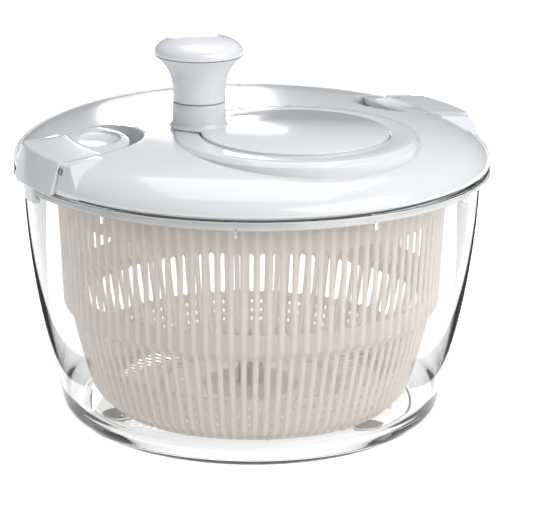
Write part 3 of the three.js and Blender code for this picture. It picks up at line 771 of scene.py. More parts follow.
@dataclass
class Bowl:
    """The clear bowl with its rim, base ring, pivot pin and rubber feet."""

    plan: Plan
    repeat: Repeat
    wall: float = 2.6 * MM
    taper: float = 21.4 * MM
    rim_height: float = 4.2 * MM
    overhang: float = 5.1 * MM
    floor_bottom: float = 2.4 * MM
    floor: float = 3.2 * MM
    base_clear: float = 1.0 * MM
    corner: float = 11.0 * MM
    ring_width: float = 4.5 * MM
    boss: float = 7.0 * MM
    boss_height: float = 3.8 * MM
    rib_count: int = 11
    rib_first: float = math.radians(-187.5)

    @property
    def wall_top(self) -> float:
        """Outside radius of the wall under the rim."""
        return self.plan.rim_radius - self.overhang

    @property
    def rim_bottom(self) -> float:
        """Height of the rim's underside."""
        return self.plan.rim_top - self.rim_height

    @property
    def floor_top(self) -> float:
        """Height of the floor inside."""
        return self.floor_bottom + self.floor

    def radius(self, z: float) -> float:
        """Return the wall's outside radius at a height."""
        down = max(self.rim_bottom - z, 0.0) / self.rim_bottom
        return self.wall_top - self.taper * down**1.83

    def section(self) -> list[Point]:
        """Return the bowl's section, from the axis under the floor round to the pin's socket."""
        corner_top = self.base_clear + self.corner
        middle = self.radius(corner_top) - self.corner
        ring = middle - self.ring_width
        inner = self.corner - self.wall
        outside, inside = [], []
        for i in range(13):
            angle = math.radians(90 * i / 13)
            lean, rise = math.sin(angle), 1 - math.cos(angle)
            outside.append((middle + self.corner * lean, self.base_clear + self.corner * rise))
            inside.append((middle + inner * lean, self.floor_top + inner * rise))
        inner_top = self.floor_top + inner
        for i in range(25):
            t = i / 24
            z = corner_top + (self.rim_bottom - 1.5 * MM - corner_top) * t
            outside.append((self.radius(z), z))
            z = inner_top + (self.rim_bottom - inner_top) * t
            inside.append((self.radius(z) - self.wall, z))
        pin = high("pivot_pin").x + 0.3 * MM
        boss_top = self.floor_top + self.boss_height
        rim = self.plan.rim_radius
        top = self.plan.rim_top
        under = [(0, self.floor_bottom, 0), (ring, self.floor_bottom, 0.6 * MM)]
        under.append((ring + 1 * MM, self.base_clear, 0.6 * MM))
        flange = [
            (self.wall_top, self.rim_bottom, 1.0 * MM),
            (rim, self.rim_bottom, 0.9 * MM),
            (rim, top, 1.3 * MM),
            (self.wall_top - self.wall, top, 1.0 * MM),
        ]
        socket = [
            (self.boss, self.floor_top, 1.2 * MM),
            (self.boss, boss_top, 0.6 * MM),
            (pin, boss_top, 0.2 * MM),
            (pin, self.floor_top + 0.4 * MM, 0),
            (0, self.floor_top + 0.4 * MM, 0),
        ]
        plain = [(r, z, 0) for r, z in outside] + flange
        plain += [(r, z, 0) for r, z in reversed(inside)]
        return rounded(under + plain + socket)

    def build(self) -> None:
        """Make the bowl, the ribs under its rim, the pin and the feet."""
        bowl = revolve("bowl_shell", self.section(), facets=192)
        for node in ("rubber_foot_1", "rubber_foot_2", "rubber_foot_3"):
            lower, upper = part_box(node)
            centre = ((lower.x + upper.x) / 2, (lower.y + upper.y) / 2)
            radius = (upper.x - lower.x) / 2
            hole = rod("foot_pocket", radius + 0.25 * MM, -MM, upper.z + 0.3 * MM, centre, 64)
            combine(bowl, Cut.REMOVE, hole)
            self.foot(node, centre, radius, upper.z)
        place(smooth(bowl, 40), "bowl", Finish.CLEAR, "bowl")
        self.rim_ribs()
        self.pin()

    def rim_ribs(self) -> None:
        """Make the short stiffening ribs under the rim."""
        top = self.rim_bottom + 0.3 * MM
        inner = self.radius(top) - 0.4 * MM
        outer = self.plan.rim_radius - 1.4 * MM
        half = 0.65 * MM
        points, faces = [], []
        for y in (-half, half):
            points += [
                (inner, y, top), (outer, y, top), (outer, y, top - 3.9 * MM),
                (outer - 0.5 * MM, y, top - 4.3 * MM), (inner, y, top - 4.3 * MM),
            ]
        faces = [(0, 1, 2, 3, 4), (9, 8, 7, 6, 5)]
        for i in range(5):
            j = (i + 1) % 5
            faces.append((j, i, 5 + i, 5 + j))
        rib = soften(mesh_object("bowl_rim_ribs", points, faces), 0.2 * MM)
        self.repeat.run(rib, self.rib_count, Finish.CLEAR, self.rib_first)
        place(smooth(rib), "bowl", Finish.CLEAR)

    def foot(self, node: str, centre: Point, radius: float, top: float) -> None:
        """Make a rubber foot: a domed pad with a moulded ring."""
        section = rounded([
            (0, 0.15 * MM, 0),
            (radius * 0.62, 0.15 * MM, 0.2 * MM),
            (radius * 0.68, 0.0, 0.2 * MM),
            (radius * 0.9, 0.0, 0.3 * MM),
            (radius, 0.6 * MM, 0.4 * MM),
            (radius, top - 0.3 * MM, 0.3 * MM),
            (radius - 0.5 * MM, top, 0.2 * MM),
            (0, top, 0),
        ], 3)
        pad = revolve(node + "_pad", section, centre, 64)
        place(smooth(pad), "bowl", Finish.RUBBER, node)

    def pin(self) -> None:
        """Make the steel pin that the basket turns on."""
        lower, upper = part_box("pivot_pin")
        radius = upper.x
        section = rounded([
            (0, lower.z, 0),
            (radius, lower.z, 0.4 * MM),
            (radius, upper.z - 2.2 * MM, 0.5 * MM),
            (radius * 0.72, upper.z - 0.9 * MM, 1.0 * MM),
            (radius * 0.3, upper.z, 0.6 * MM),
            (0, upper.z, 0),
        ])
        place(smooth(revolve("pivot_pin_turned", section, facets=48), 50), "bowl", Finish.STEEL, "pivot_pin")


# ---------------------------------------------------------------- basket


class Band(Enum):
    """What lies between two rows of the basket's sheet."""

    SOLID = 0
    SLOT = 1
    HOLE = 2


@dataclass
class Row:
    """One level line of the basket's sheet, running round it."""

    r: float
    z: float
    band: Band = Band.SOLID
    bow: float = 0.0
    flute: float = 1.0


@dataclass
class Basket:
    """The frosted basket: a fluted wall with two rows of slots, three of holes, and a slotted floor."""

    plan: Plan
    repeat: Repeat
    columns: int = 100
    wall: float = 1.7 * MM
    neck: float = 103.2 * MM
    band_drop: float = 58.5 * MM
    band_height: float = 12.3 * MM
    slot_half: float = 0.25
    flute: float = 0.8 * MM
    hole: float = 0.95 * MM

    def __post_init__(self) -> None:
        """Work out the levels from the top of the basket and the floor under it."""
        self.top = self.plan.basket_top
        self.bottom = low("basket").z
        self.floor = self.bottom + 2.6 * MM
        self.band_top = self.top - self.band_drop
        self.band_bottom = self.band_top - self.band_height

    def radius(self, z: float) -> float:
        """Return the wall's outside radius at a height."""
        if z > self.band_bottom:
            share = (self.top - z) / (self.top - self.band_bottom)
            return self.neck - 3.4 * MM * share**0.7
        down = (self.band_bottom - z) / (self.band_bottom - self.floor)
        return self.neck - 7.4 * MM - 12.4 * MM * down**1.25

    def rows(self) -> list[Row]:
        """Return the sheet's rows from the lip of the flange to the middle of the hub."""
        lip = self.neck + 1.9 * MM
        under = self.top - self.wall
        rows = [
            Row(lip, under - 1.5 * MM, flute=0),
            Row(lip, under - 0.5 * MM, flute=0),
            Row(lip - 0.5 * MM, under, flute=0),
            Row(self.neck + 0.5 * MM, under, flute=0),
            Row(self.neck, under - 0.6 * MM, flute=0.2),
            Row(self.neck - 0.2 * MM, under - 1.6 * MM),
            Row(self.radius(self.top - 9 * MM), self.top - 9 * MM),
        ]
        rows += self.slots(self.top - 15.6 * MM, self.band_top)
        rows += [
            Row(self.radius(self.band_bottom + 1.5 * MM), self.band_bottom + 3.2 * MM),
            Row(self.radius(self.band_bottom + 1.0 * MM) - 0.7 * MM, self.band_bottom + 1.6 * MM),
            Row(self.neck - 6.6 * MM, self.band_bottom - 0.4 * MM),
            Row(self.radius(self.band_bottom - 1.6 * MM), self.band_bottom - 1.6 * MM),
        ]
        rows += self.slots(self.band_bottom - 2.6 * MM, self.bottom + 25.6 * MM)
        for z in (29.7, 24.9, 20.1):
            height = z * MM
            for edge, band in ((2.1 * MM, Band.HOLE), (-2.1 * MM, Band.SOLID)):
                rows.append(Row(self.radius(height + edge), height + edge, band))
        base = self.neck - 24.2 * MM
        rows += [
            Row(base + 4.6 * MM, self.floor + 3.4 * MM),
            Row(base + 2.8 * MM, self.floor + 1.4 * MM, flute=0.6),
            Row(base + 0.6 * MM, self.floor + 0.3 * MM, flute=0.2),
            Row(base - 2.4 * MM, self.floor, flute=0),
        ]
        for outer, inner in ((72.0, 50.0), (46.0, 26.0)):
            rows += self.floor_slots(outer * MM, inner * MM)
        bush = high("basket_bush")
        bore = bush.x + 0.3 * MM
        hub = bush.z + 0.3 * MM
        rows += [
            Row(14 * MM, self.floor, flute=0),
            Row(bore + 1.0 * MM, self.floor, flute=0),
            Row(bore, self.floor + 0.8 * MM, flute=0),
            Row(bore, hub - 0.8 * MM, flute=0),
            Row(bore - 0.8 * MM, hub, flute=0),
            Row(0.0, hub, flute=0),
        ]
        return rows

    def slots(self, top: float, bottom: float) -> list[Row]:
        """Return the rows of a band of upright slots with round ends."""
        bow = self.slot_half * 2 * math.pi * self.radius((top + bottom) / 2) / self.columns
        rows = [Row(self.radius(top - bow), top - bow, Band.SLOT, bow)]
        for share in (0.33, 0.67):
            z = top + (bottom - top) * share
            rows.append(Row(self.radius(z), z, Band.SLOT))
        rows.append(Row(self.radius(bottom + bow), bottom + bow, Band.SOLID, -bow))
        return rows

    def floor_slots(self, outer: float, inner: float) -> list[Row]:
        """Return the rows of a band of slots that run towards the middle of the floor."""
        return [
            Row(outer, self.floor, Band.SLOT, flute=0),
            Row((outer + inner) / 2, self.floor, Band.SLOT, flute=0),
            Row(inner, self.floor, Band.SOLID, flute=0),
        ]

    def stave(self) -> Obj:
        """Make one column of the sheet, from the middle of one rib to the middle of the next."""
        half = self.slot_half
        across = [-0.5, -0.41, -0.32, -half, -0.6 * half, 0.0, 0.6 * half, half, 0.32, 0.41, 0.5]
        pitch = 2 * math.pi / self.columns
        rows = self.rows()
        points, faces = [], []

        def point(u: float, r: float, z: float) -> int:
            """Add a point at a share of the pitch and return its number."""
            points.append((r * math.cos(u * pitch), r * math.sin(u * pitch), z))
            return len(points) - 1

        grid = []
        for row in rows:
            line = []
            for u in across:
                inside = max(0.0, 1 - (u / half) ** 2)
                rise = row.bow * math.sqrt(inside)
                ridge = max(0.0, (abs(u) - half) / (0.5 - half))
                swell = self.flute * row.flute * math.sin(min(ridge * 1.15, 1) * math.pi / 2)
                line.append(point(u, row.r + swell if row.r > 0 else 0.0, row.z + rise))
            grid.append(line)
        for k in range(len(rows) - 1):
            upper, lower, band = grid[k], grid[k + 1], rows[k].band
            for j in range(len(across) - 1):
                open_here = -half - 1e-6 < across[j] and across[j + 1] < half + 1e-6
                if band is Band.SOLID or not open_here:
                    faces.append((upper[j], upper[j + 1], lower[j + 1], lower[j]))
            if band is Band.HOLE:
                faces += self.hole_faces(points, point, across, upper, lower)
        made = mesh_object("basket_sheet", points, [f[::-1] for f in faces])
        return made

    def hole_faces(self, points: list, point: object, across: list, upper: list, lower: list) -> list:
        """Return the faces that ring one round hole between two rows."""
        half = self.slot_half
        inner = [j for j, u in enumerate(across) if abs(u) <= half + 1e-6]
        loop = [upper[j] for j in inner] + [lower[j] for j in reversed(inner)]
        corners = [Vector(points[i]) for i in loop]
        centre = sum(corners, Vector()) / len(corners)
        ring = []
        for corner in corners:
            away = (corner - centre).normalized() * self.hole
            ring.append(len(points))
            points.append(tuple(centre + away))
        count = len(loop)
        return [(loop[i], loop[(i + 1) % count], ring[(i + 1) % count], ring[i]) for i in range(count)]

    def build(self) -> None:
        """Make the basket, its foot ring and the ribs that the drive plate pushes on."""
        sheet = self.repeat.run(self.stave(), self.columns, Finish.FROSTED, weld=0.02 * MM)
        thick = sheet.modifiers.new("wall", "SOLIDIFY")
        thick.thickness = self.wall
        thick.offset = -1
        thick.use_even_offset = True
        thick.thickness_clamp = 0.6
        settle(sheet)
        place(smooth(sheet, 48), "basket", Finish.FROSTED, "basket")
        self.foot_ring()
        self.drive_ribs()
        self.bush()

    def foot_ring(self) -> None:
        """Make the ring and small tabs under the basket."""
        outer = self.neck - 24.2 * MM
        section = rounded([
            (outer - 2.2 * MM, self.bottom, 0.6 * MM),
            (outer, self.bottom, 0.6 * MM),
            (outer + 0.5 * MM, self.floor + 0.5 * MM, 0),
            (outer - 2.2 * MM, self.floor + 0.5 * MM, 0),
        ])
        place(smooth(revolve("basket_foot_ring", section, facets=200)), "basket", Finish.FROSTED)
        tab = block(
            "basket_tabs",
            (outer - 0.4 * MM, -0.9 * MM, self.bottom + 0.3 * MM),
            (outer + 2.2 * MM, 0.9 * MM, self.floor + 1.0 * MM),
        )
        self.repeat.run(soften(tab, 0.2 * MM), 12, Finish.FROSTED, math.radians(8))
        place(smooth(tab), "basket", Finish.FROSTED)

    def drive_ribs(self) -> None:
        """Make the ribs inside the neck."""
        plate = high("drive_plate").x
        rib = block(
            "basket_drive_ribs",
            (plate + 0.4 * MM, 0, self.top - 11 * MM),
            (self.neck - 1.2 * MM, 3 * MM, self.top - 2 * MM),
        )
        self.repeat.run(soften(rib, 0.3 * MM), 6, Finish.FROSTED, math.radians(30))
        place(smooth(rib), "basket", Finish.FROSTED)

    def bush(self) -> None:
        """Make the bush that carries the basket on the pin."""
        lower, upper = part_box("basket_bush")
        bore = high("pivot_pin").x + 0.4 * MM
        inside = high("pivot_pin").z + 0.1 * MM
        section = rounded([
            (0, inside, 0),
            (bore, inside, 0.3 * MM),
            (bore, lower.z, 0.4 * MM),
            (upper.x, lower.z, 0.4 * MM),
            (upper.x, upper.z, 0.6 * MM),
            (0, upper.z, 0),
        ])
        made = revolve("basket_bush_turned", section, facets=64)
        place(smooth(made), "basket_carrier", Finish.INNER, "basket_bush")


# ---------------------------------------------------------------- lid shells and latches


@dataclass
class Lid:
    """The domed cover with its plinth and pockets, the lid's base, and the screws that join them."""

    plan: Plan
    repeat: Repeat
    edge: float = 2.7 * MM
    rise: float = 20.3 * MM
    wall: float = 2.2 * MM
    fall: float = 4.5
    roundness: float = 1.7
    plinth: float = 63.5 * MM
    disc: float = 48.0 * MM
    pocket_depth: float = 2.3 * MM
    latch_half: float = 22.5 * MM
    latch_reach: float = 49.3 * MM
    latch_pit: float = 10.0 * MM
    latch_floor: float = 14.6 * MM
    latch_edge: float = 2.8 * MM
    latch_flush: float = 25.3 * MM
    latch_drop: float = 6.8 * MM
    well_room: float = 9.0 * MM
    side_gap: float = 0.4 * MM
    cheek: float = 27.0 * MM
    cheek_blend: float = 13.0 * MM
    cheek_drop: float = 0.9 * MM

    @property
    def edge_top(self) -> float:
        """Height where the dome starts."""
        return self.plan.lid_bottom + self.edge

    @property
    def pocket_floor(self) -> float:
        """Height of the floor under the crank's disc."""
        return self.plan.plinth_top - self.pocket_depth

    @property
    def latch_inner(self) -> float:
        """How far in a finger pad reaches."""
        return self.plan.rim_radius - self.latch_reach

    def height(self, r: float) -> float:
        """Return the dome's height at a radius."""
        share = min(r / self.plan.rim_radius, 1.0)
        return self.edge_top + self.rise * (1 - share**self.fall) ** (1 / self.roundness)

    def dome(self, inset: float = 0.0, drop: float = 0.0, steps: int = 40) -> list[Point]:
        """Return the dome's outline from its edge to the axis, closer together near the edge."""
        rim = self.plan.rim_radius
        line = []
        for i in range(steps, -1, -1):
            r = rim * (1 - (1 - i / steps) ** 2.2)
            line.append((max(r * (1 - inset / rim), 0.0), self.height(r) - drop))
        return line

    def latch_outline(self, clearance: float, reach: float) -> list[Point]:
        """Return the plan of a latch or its pocket, a strip with a half-round inner end.

        Args:
            clearance: added to the half width.
            reach: radius of the inner end.

        Returns:
            The outline, anticlockwise.
        """
        half = self.latch_half + clearance
        middle = self.latch_inner + 10 * MM
        outer = self.plan.rim_radius + 10 * MM
        line = [(outer, -half), (outer, half)]
        for i in range(33):
            angle = math.pi / 2 + math.pi * i / 32
            line.append((middle + (middle - reach) * math.cos(angle), half * math.sin(angle)))
        return line

    def pocket(self, growth: float) -> list[Obj]:
        """Make the two solids of a latch's pocket: the shallow part and the well round its pivot."""
        top = self.plan.plinth_top + 20 * MM
        floor = self.plan.plinth_top - self.latch_floor - 0.5 * MM - growth
        reach = self.latch_inner - self.latch_pit - growth
        shallow = prism("pocket", self.latch_outline(self.side_gap + growth, reach), floor, top)
        half = self.latch_half + self.side_gap + growth
        inner = self.plan.latch_pivot.x - self.well_room - growth
        bottom = self.plan.lid_bottom + (1.7 * MM if growth > 0 else -5 * MM)
        well = block(
            "pocket_well", (inner, -half, bottom), (self.plan.rim_radius + 10 * MM, half, top)
        )
        return [shallow, well]

    def cheeks(self) -> Obj:
        """Make the raised cheeks on both sides of the right lever, which fall away to the dome."""
        plan = self.plan
        edge = plan.rim_radius - self.latch_edge
        flush = plan.rim_radius - self.latch_flush
        top = plan.plinth_top - self.latch_drop - self.cheek_drop
        level = self.height(flush) - 0.1 * MM
        skin = revolve("cheeks", rounded([
            (0, plan.lid_bottom + MM, 0),
            (plan.rim_radius - 0.3 * MM, plan.lid_bottom + MM, 0),
            (plan.rim_radius - 0.3 * MM, self.edge_top, 0.5 * MM),
            (edge - 0.6 * MM, top, 2.6 * MM),
            (flush, level, 2.0 * MM),
            (0, level, 0),
        ], 7), facets=320)
        half, blend, roof = self.cheek, self.cheek_blend, plan.plinth_top - 4 * MM
        foot = self.edge_top + 0.5 * MM
        across = rounded([
            (-half - blend, plan.lid_bottom, 0),
            (half + blend, plan.lid_bottom, 0),
            (half + blend, foot, 0),
            (half, roof, 6 * MM),
            (-half, roof, 6 * MM),
            (-half - blend, foot, 0),
        ], 8)
        wedge = prism("wedge", across, flush, plan.rim_radius + 5 * MM)
        wedge.data.transform(Matrix.Rotation(math.pi / 2, 4, "Z") @ Matrix.Rotation(math.pi / 2, 4, "X"))
        return combine(skin, Cut.KEEP, wedge)

    def turned(self, pieces: list[Obj], angle: float) -> list[Obj]:
        """Turn pieces about the Z axis by an angle in radians."""
        for piece in pieces:
            piece.data.transform(Matrix.Rotation(angle, 4, "Z"))
        return pieces

    def screw_places(self) -> list[Point]:
        """Return where the lid's screws stand."""
        places = []
        for i in range(1, 7):
            lower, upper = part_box(f"lid_screw_{i}")
            places.append(((lower.x + upper.x) / 2, (lower.y + upper.y) / 2))
        return places

    def build(self) -> None:
        """Make the cover, the base and the screws."""
        self.cover()
        self.base()
        self.screws()
        self.base_ribs()

    def cover(self) -> None:
        """Make the domed cover: a shell, a plinth on it, and its pockets and bosses."""
        plan = self.plan
        rim, bottom, top = plan.rim_radius, plan.lid_bottom, plan.plinth_top
        crank = plan.crank
        lip = [
            (0, bottom),
            (rim - 3.2 * MM, bottom),
            (rim - 3.0 * MM, bottom + 1.3 * MM),
            (rim, bottom + 2.0 * MM),
        ]
        cover = revolve("lid_shell", lip + self.dome(), facets=240)
        plinth = rounded([
            (0, self.edge_top, 0),
            (self.plinth + 1.0 * MM, self.edge_top, 0),
            (self.plinth, top - 2.5 * MM, 1.0 * MM),
            (self.plinth - 2.6 * MM, top - 0.25 * MM, 2.2 * MM),
            (self.plinth - 6.0 * MM, top, 2.0 * MM),
            (0, top, 0),
        ], 8)
        combine(cover, Cut.JOIN, revolve("plinth", plinth, crank, 200))
        for angle in (0.0, math.pi):
            combine(cover, Cut.JOIN, *self.turned([self.cheeks()], angle))
        hollow = revolve(
            "hollow",
            [(0, bottom - MM), (rim - self.wall, bottom - MM)] + self.dome(self.wall, self.wall, 24),
            facets=120,
        )
        bush = high("crank_bush").x
        fills = [
            rod("fill", self.disc + 4 * MM, self.pocket_floor - self.wall, top, crank, 96),
            rod("fill", bush + 2.7 * MM, plan.gear_top + 2.4 * MM, self.pocket_floor, crank),
            rod("fill", high("drive_shaft").x + 3.4 * MM, plan.gear_top + MM, top - 2 * MM),
        ]
        floor_top = low("lid_base").z + 6.0 * MM
        for place_xy in self.screw_places():
            fills.append(rod("fill", 4 * MM, plan.base_floor_bottom + 2.3 * MM, top, place_xy, 32))
        for angle in (0.0, math.pi):
            fills += self.turned(self.pocket(2 * MM), angle)
        combine(hollow, Cut.REMOVE, *fills)
        combine(cover, Cut.REMOVE, hollow)
        cuts = [
            revolve("cut", rounded([
                (0, self.pocket_floor, 0),
                (self.disc + 0.4 * MM, self.pocket_floor, 0.5 * MM),
                (self.disc + 0.4 * MM, top - 0.6 * MM, 0),
                (self.disc + 1.2 * MM, top + 0.3 * MM, 0),
                (self.disc + 1.2 * MM, top + 5 * MM, 0),
                (0, top + 5 * MM, 0),
            ]), crank, 160),
            rod("cut", bush + 0.3 * MM, floor_top, top + 5 * MM, crank),
            rod("cut", high("drive_shaft").x + 0.4 * MM, plan.gear_top - MM, plan.gear_top + 5 * MM),
        ]
        for place_xy in self.screw_places():
            cuts.append(rod("cut", 1.8 * MM, plan.base_floor_bottom, plan.base_floor_bottom + 11.5 * MM,
                            place_xy, 24))
        for angle in (0.0, math.pi):
            pin = cross_rod("cut", 1.8 * MM, self.latch_half + 3 * MM, plan.latch_pivot.x, plan.latch_pivot.z)
            cuts += self.turned([*self.pocket(0), pin], angle)
        combine(cover, Cut.REMOVE, *cuts)
        soften(cover, 0.35 * MM, 42)
        place(smooth(cover, 30), "lid", Finish.LID, "lid_cover")

    def base(self) -> None:
        """Make the lid's base: a dish with a spigot that drops inside the bowl's rim."""
        lower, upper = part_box("lid_base")
        floor = self.plan.base_floor_bottom
        spigot = self.plan.rim_radius - 8.3 * MM
        bore = high("shaft_bush").x - 2.2 * MM
        base = revolve("lid_base_dish", rounded([
            (bore, floor - 1.5 * MM, 0.3 * MM),
            (bore + 3 * MM, floor - 1.5 * MM, 0.5 * MM),
            (bore + 3 * MM, floor, 0.5 * MM),
            (spigot - 2 * MM, floor, 1.0 * MM),
            (spigot - 2 * MM, lower.z, 0.6 * MM),
            (spigot, lower.z, 0.8 * MM),
            (spigot, self.plan.lid_bottom, 0.4 * MM),
            (upper.x, self.plan.lid_bottom, 0.3 * MM),
            (upper.x, self.plan.lid_bottom + 1.4 * MM, 0.4 * MM),
            (spigot - 2 * MM, self.plan.lid_bottom + 1.4 * MM, 0.8 * MM),
            (spigot - 2 * MM, floor + 2 * MM, 0.8 * MM),
            (bore + 3 * MM, floor + 2 * MM, 0.8 * MM),
            (bore + 3 * MM, floor + 5.5 * MM, 0.4 * MM),
            (bore, floor + 5.5 * MM, 0.2 * MM),
        ]), facets=200)
        holes = [rod("hole", 1.8 * MM, floor - 5 * MM, floor + 7 * MM, xy, 24) for xy in self.screw_places()]
        combine(base, Cut.REMOVE, *holes)
        place(smooth(base), "lid", Finish.INNER, "lid_base")

    def base_ribs(self) -> None:
        """Make the stiffening ribs that stand on the lid's base, inside the lid."""
        floor = self.plan.base_floor_bottom + 2 * MM
        rib = block(
            "lid_base_ribs",
            (86 * MM, -0.6 * MM, floor - 0.3 * MM),
            (self.plan.rim_radius - 10.6 * MM, 0.6 * MM, floor + 2.2 * MM),
        )
        self.repeat.run(soften(rib, 0.25 * MM), 24, Finish.INNER, math.radians(7.5))
        place(smooth(rib), "lid", Finish.INNER)

    def screws(self) -> None:
        """Make the cross-head screws that hold the base to the cover."""
        names = [f"lid_screw_{i}" for i in range(1, 7)]
        for name, (x, y) in zip(names, self.screw_places()):
            lower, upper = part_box(name)
            made = screw(name + "_cross", lower.z, upper.z, (upper.x - lower.x) / 2, 1.5 * MM, (x, y))
            place(made, "lid", Finish.STEEL, name)


def screw(name: str, bottom: float, top: float, head: float, shank: float, around: Point) -> Obj:
    """Make a screw that points up: a domed head with a cross recess and a threaded shank.

    Args:
        name: the piece's name.
        bottom: height of the head's crown.
        top: height of the tip.
        head: the head's radius.
        shank: the thread's radius.
        around: where its axis stands.

    Returns:
        The screw.
    """
    corners = [
        (0, bottom, 0),
        (head * 0.55, bottom + 0.05 * MM, 0.4 * MM),
        (head, bottom + 0.9 * MM, 0.5 * MM),
        (head, bottom + 2.0 * MM, 0.2 * MM),
        (shank, bottom + 2.0 * MM, 0),
    ]
    pitch = 0.9 * MM
    z = bottom + 2.3 * MM
    while z < top - 1.5 * MM:
        corners.append((shank * 0.76, z, 0))
        corners.append((shank, z + pitch / 2, 0))
        z += pitch
    corners += [(shank * 0.7, top - 0.8 * MM, 0), (0, top, 0)]
    made = revolve(name, rounded(corners, 3), around, 32)
    for turn in (0.0, math.pi / 2):
        arm = block("arm", (-head * 0.5, -0.3 * MM, bottom - MM), (head * 0.5, 0.3 * MM, bottom + 1.1 * MM), turn)
        arm.data.transform(Matrix.Translation((around[0], around[1], 0)))
        combine(made, Cut.REMOVE, arm)
    return smooth(made, 35)


@dataclass
class Latches:
    """The two rocker latches with their pins and springs."""

    lid: Lid
    arm: float = 3.0 * MM
    skirt_wall: float = 2.2 * MM
    hook_reach: float = 1.6 * MM
    hook_half: float = 5.0 * MM

    def lever(self, name: str, angle: float) -> Obj:
        """Make one lever as a strip of the lid's own skin, with a hook, a pivot and a finger dish."""
        lid, plan = self.lid, self.lid.plan
        rim = plan.rim_radius
        skirt = high("latch_right").x
        hook_bottom = low("latch_right").z
        hook_top = hook_bottom + 2.5 * MM
        flush = rim - lid.latch_flush
        edge = rim - lid.latch_edge
        edge_top = plan.plinth_top - lid.latch_drop
        skirt_bottom = plan.lid_bottom + 0.3 * MM
        dome = [p for p in lid.dome(steps=60) if p[0] < flush]
        outside = rounded([
            (0, hook_bottom, 0),
            (skirt - 0.9 * MM, hook_bottom, 0.4 * MM),
            (skirt, hook_bottom + 0.9 * MM, 0.6 * MM),
            (skirt, skirt_bottom, 1.0 * MM),
            (edge + 0.25 * MM, edge_top, 1.8 * MM),
            (flush, lid.height(flush), 2.0 * MM),
        ], 6)
        inner = skirt - self.skirt_wall
        lip = rim - self.hook_reach
        under = [p for p in lid.dome(drop=self.arm, steps=40) if p[0] < flush - 1 * MM]
        inside = rounded([
            (0, hook_bottom - 2 * MM, 0),
            (lip + 0.8 * MM, hook_bottom - 2 * MM, 0),
            (lip, hook_bottom + 1.0 * MM, 0.4 * MM),
            (lip, hook_top, 0.2 * MM),
            (inner, hook_top, 0.3 * MM),
            (inner, skirt_bottom, 0.8 * MM),
            (edge - 2.4 * MM, edge_top - self.arm, 1.5 * MM),
            (flush, lid.height(flush) - self.arm, 1.0 * MM),
        ], 4)
        lever = revolve(name, outside + dome, facets=320)
        plan_shape = prism(
            "plan", lid.latch_outline(0.0, lid.latch_inner), skirt_bottom, plan.plinth_top + 5 * MM
        )
        tongue = block(
            "tongue",
            (plan.latch_pivot.x, -self.hook_half, hook_bottom - 5 * MM),
            (rim + 9 * MM, self.hook_half, skirt_bottom + MM),
        )
        combine(plan_shape, Cut.JOIN, tongue)
        combine(lever, Cut.REMOVE, revolve("inside", inside + under, facets=320))
        combine(lever, Cut.KEEP, plan_shape)
        pivot = plan.latch_pivot
        half = lid.latch_half - 0.02 * MM
        hub = cross_rod("hub", 3.2 * MM, half, pivot.x, pivot.z)
        web = block(
            "web", (pivot.x - 1.4 * MM, -half, pivot.z), (pivot.x + 1.4 * MM, half, plan.plinth_top)
        )
        combine(hub, Cut.JOIN, web)
        combine(hub, Cut.KEEP, revolve("skin", outside + dome, facets=320))
        combine(lever, Cut.JOIN, hub)
        combine(lever, Cut.REMOVE, self.dish(), self.bore())
        soften(lever, 0.45 * MM, 40)
        lid.turned([lever], angle)
        return smooth(lever, 30)

    def dish(self) -> Obj:
        """Make the cutter of the finger dish, a flat ellipsoid."""
        x = self.lid.latch_inner + 15 * MM
        section = []
        for i in range(41):
            angle = math.pi * (i / 40 - 0.5)
            section.append((math.cos(angle) if i % 40 else 0.0, math.sin(angle)))
        made = revolve("dish", section, facets=96)
        scale = Matrix.Diagonal((13 * MM, 15 * MM, 2.8 * MM, 1))
        made.data.transform(Matrix.Translation((x, 0, self.lid.height(x) + 1.0 * MM)) @ scale)
        return made

    def bore(self) -> Obj:
        """Make the cutter of the pivot's bore."""
        pivot = self.lid.plan.latch_pivot
        return cross_rod("bore", 1.8 * MM, 40 * MM, pivot.x, pivot.z)

    def pin(self, side: str) -> None:
        """Make a latch's hinge pin, a steel rod with chamfered ends."""
        lower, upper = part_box(f"latch_pin_{side}")
        radius = (upper.z - lower.z) / 2
        half = (upper.y - lower.y) / 2
        made = revolve(f"latch_pin_{side}_rod", [
            (0, -half), (radius - 0.3 * MM, -half), (radius, -half + 0.3 * MM),
            (radius, half - 0.3 * MM), (radius - 0.3 * MM, half), (0, half),
        ], facets=32)
        centre = (lower + upper) / 2
        made.data.transform(Matrix.Translation(centre) @ Matrix.Rotation(math.pi / 2, 4, "X"))
        place(smooth(made), "lid", Finish.STEEL, f"latch_pin_{side}")

    def spring(self, side: str) -> None:
        """Make a latch's return spring as a fine open coil."""
        node = f"latch_spring_{side}"
        lower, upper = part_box(node)
        centre = (lower + upper) / 2
        wire = 0.42 * MM
        radius = (upper.x - lower.x) / 2 - wire
        turns, steps, sides = 5.0, 160, 10
        points, faces = [], []
        for i in range(steps + 1):
            t = i / steps
            angle = turns * 2 * math.pi * t
            ease = min(max((t - 0.12) / 0.76, 0.0), 1.0)
            z = lower.z + wire + (upper.z - lower.z - 2 * wire) * ease
            out = Vector((math.cos(angle), math.sin(angle), 0))
            for k in range(sides):
                turn = 2 * math.pi * k / sides
                spot = out * (radius + wire * math.cos(turn)) + Vector((0, 0, wire * math.sin(turn)))
                points.append((centre.x + spot.x, centre.y + spot.y, z + spot.z))
        for i in range(steps):
            for k in range(sides):
                j = (k + 1) % sides
                a, b = i * sides, (i + 1) * sides
                faces.append((a + k, b + k, b + j, a + j))
        faces.append(tuple(range(sides)))
        faces.append(tuple(range(steps * sides, (steps + 1) * sides))[::-1])
        made = mesh_object(node + "_coil", points, faces)
        place(smooth(made), "lid", Finish.SPRING, node)

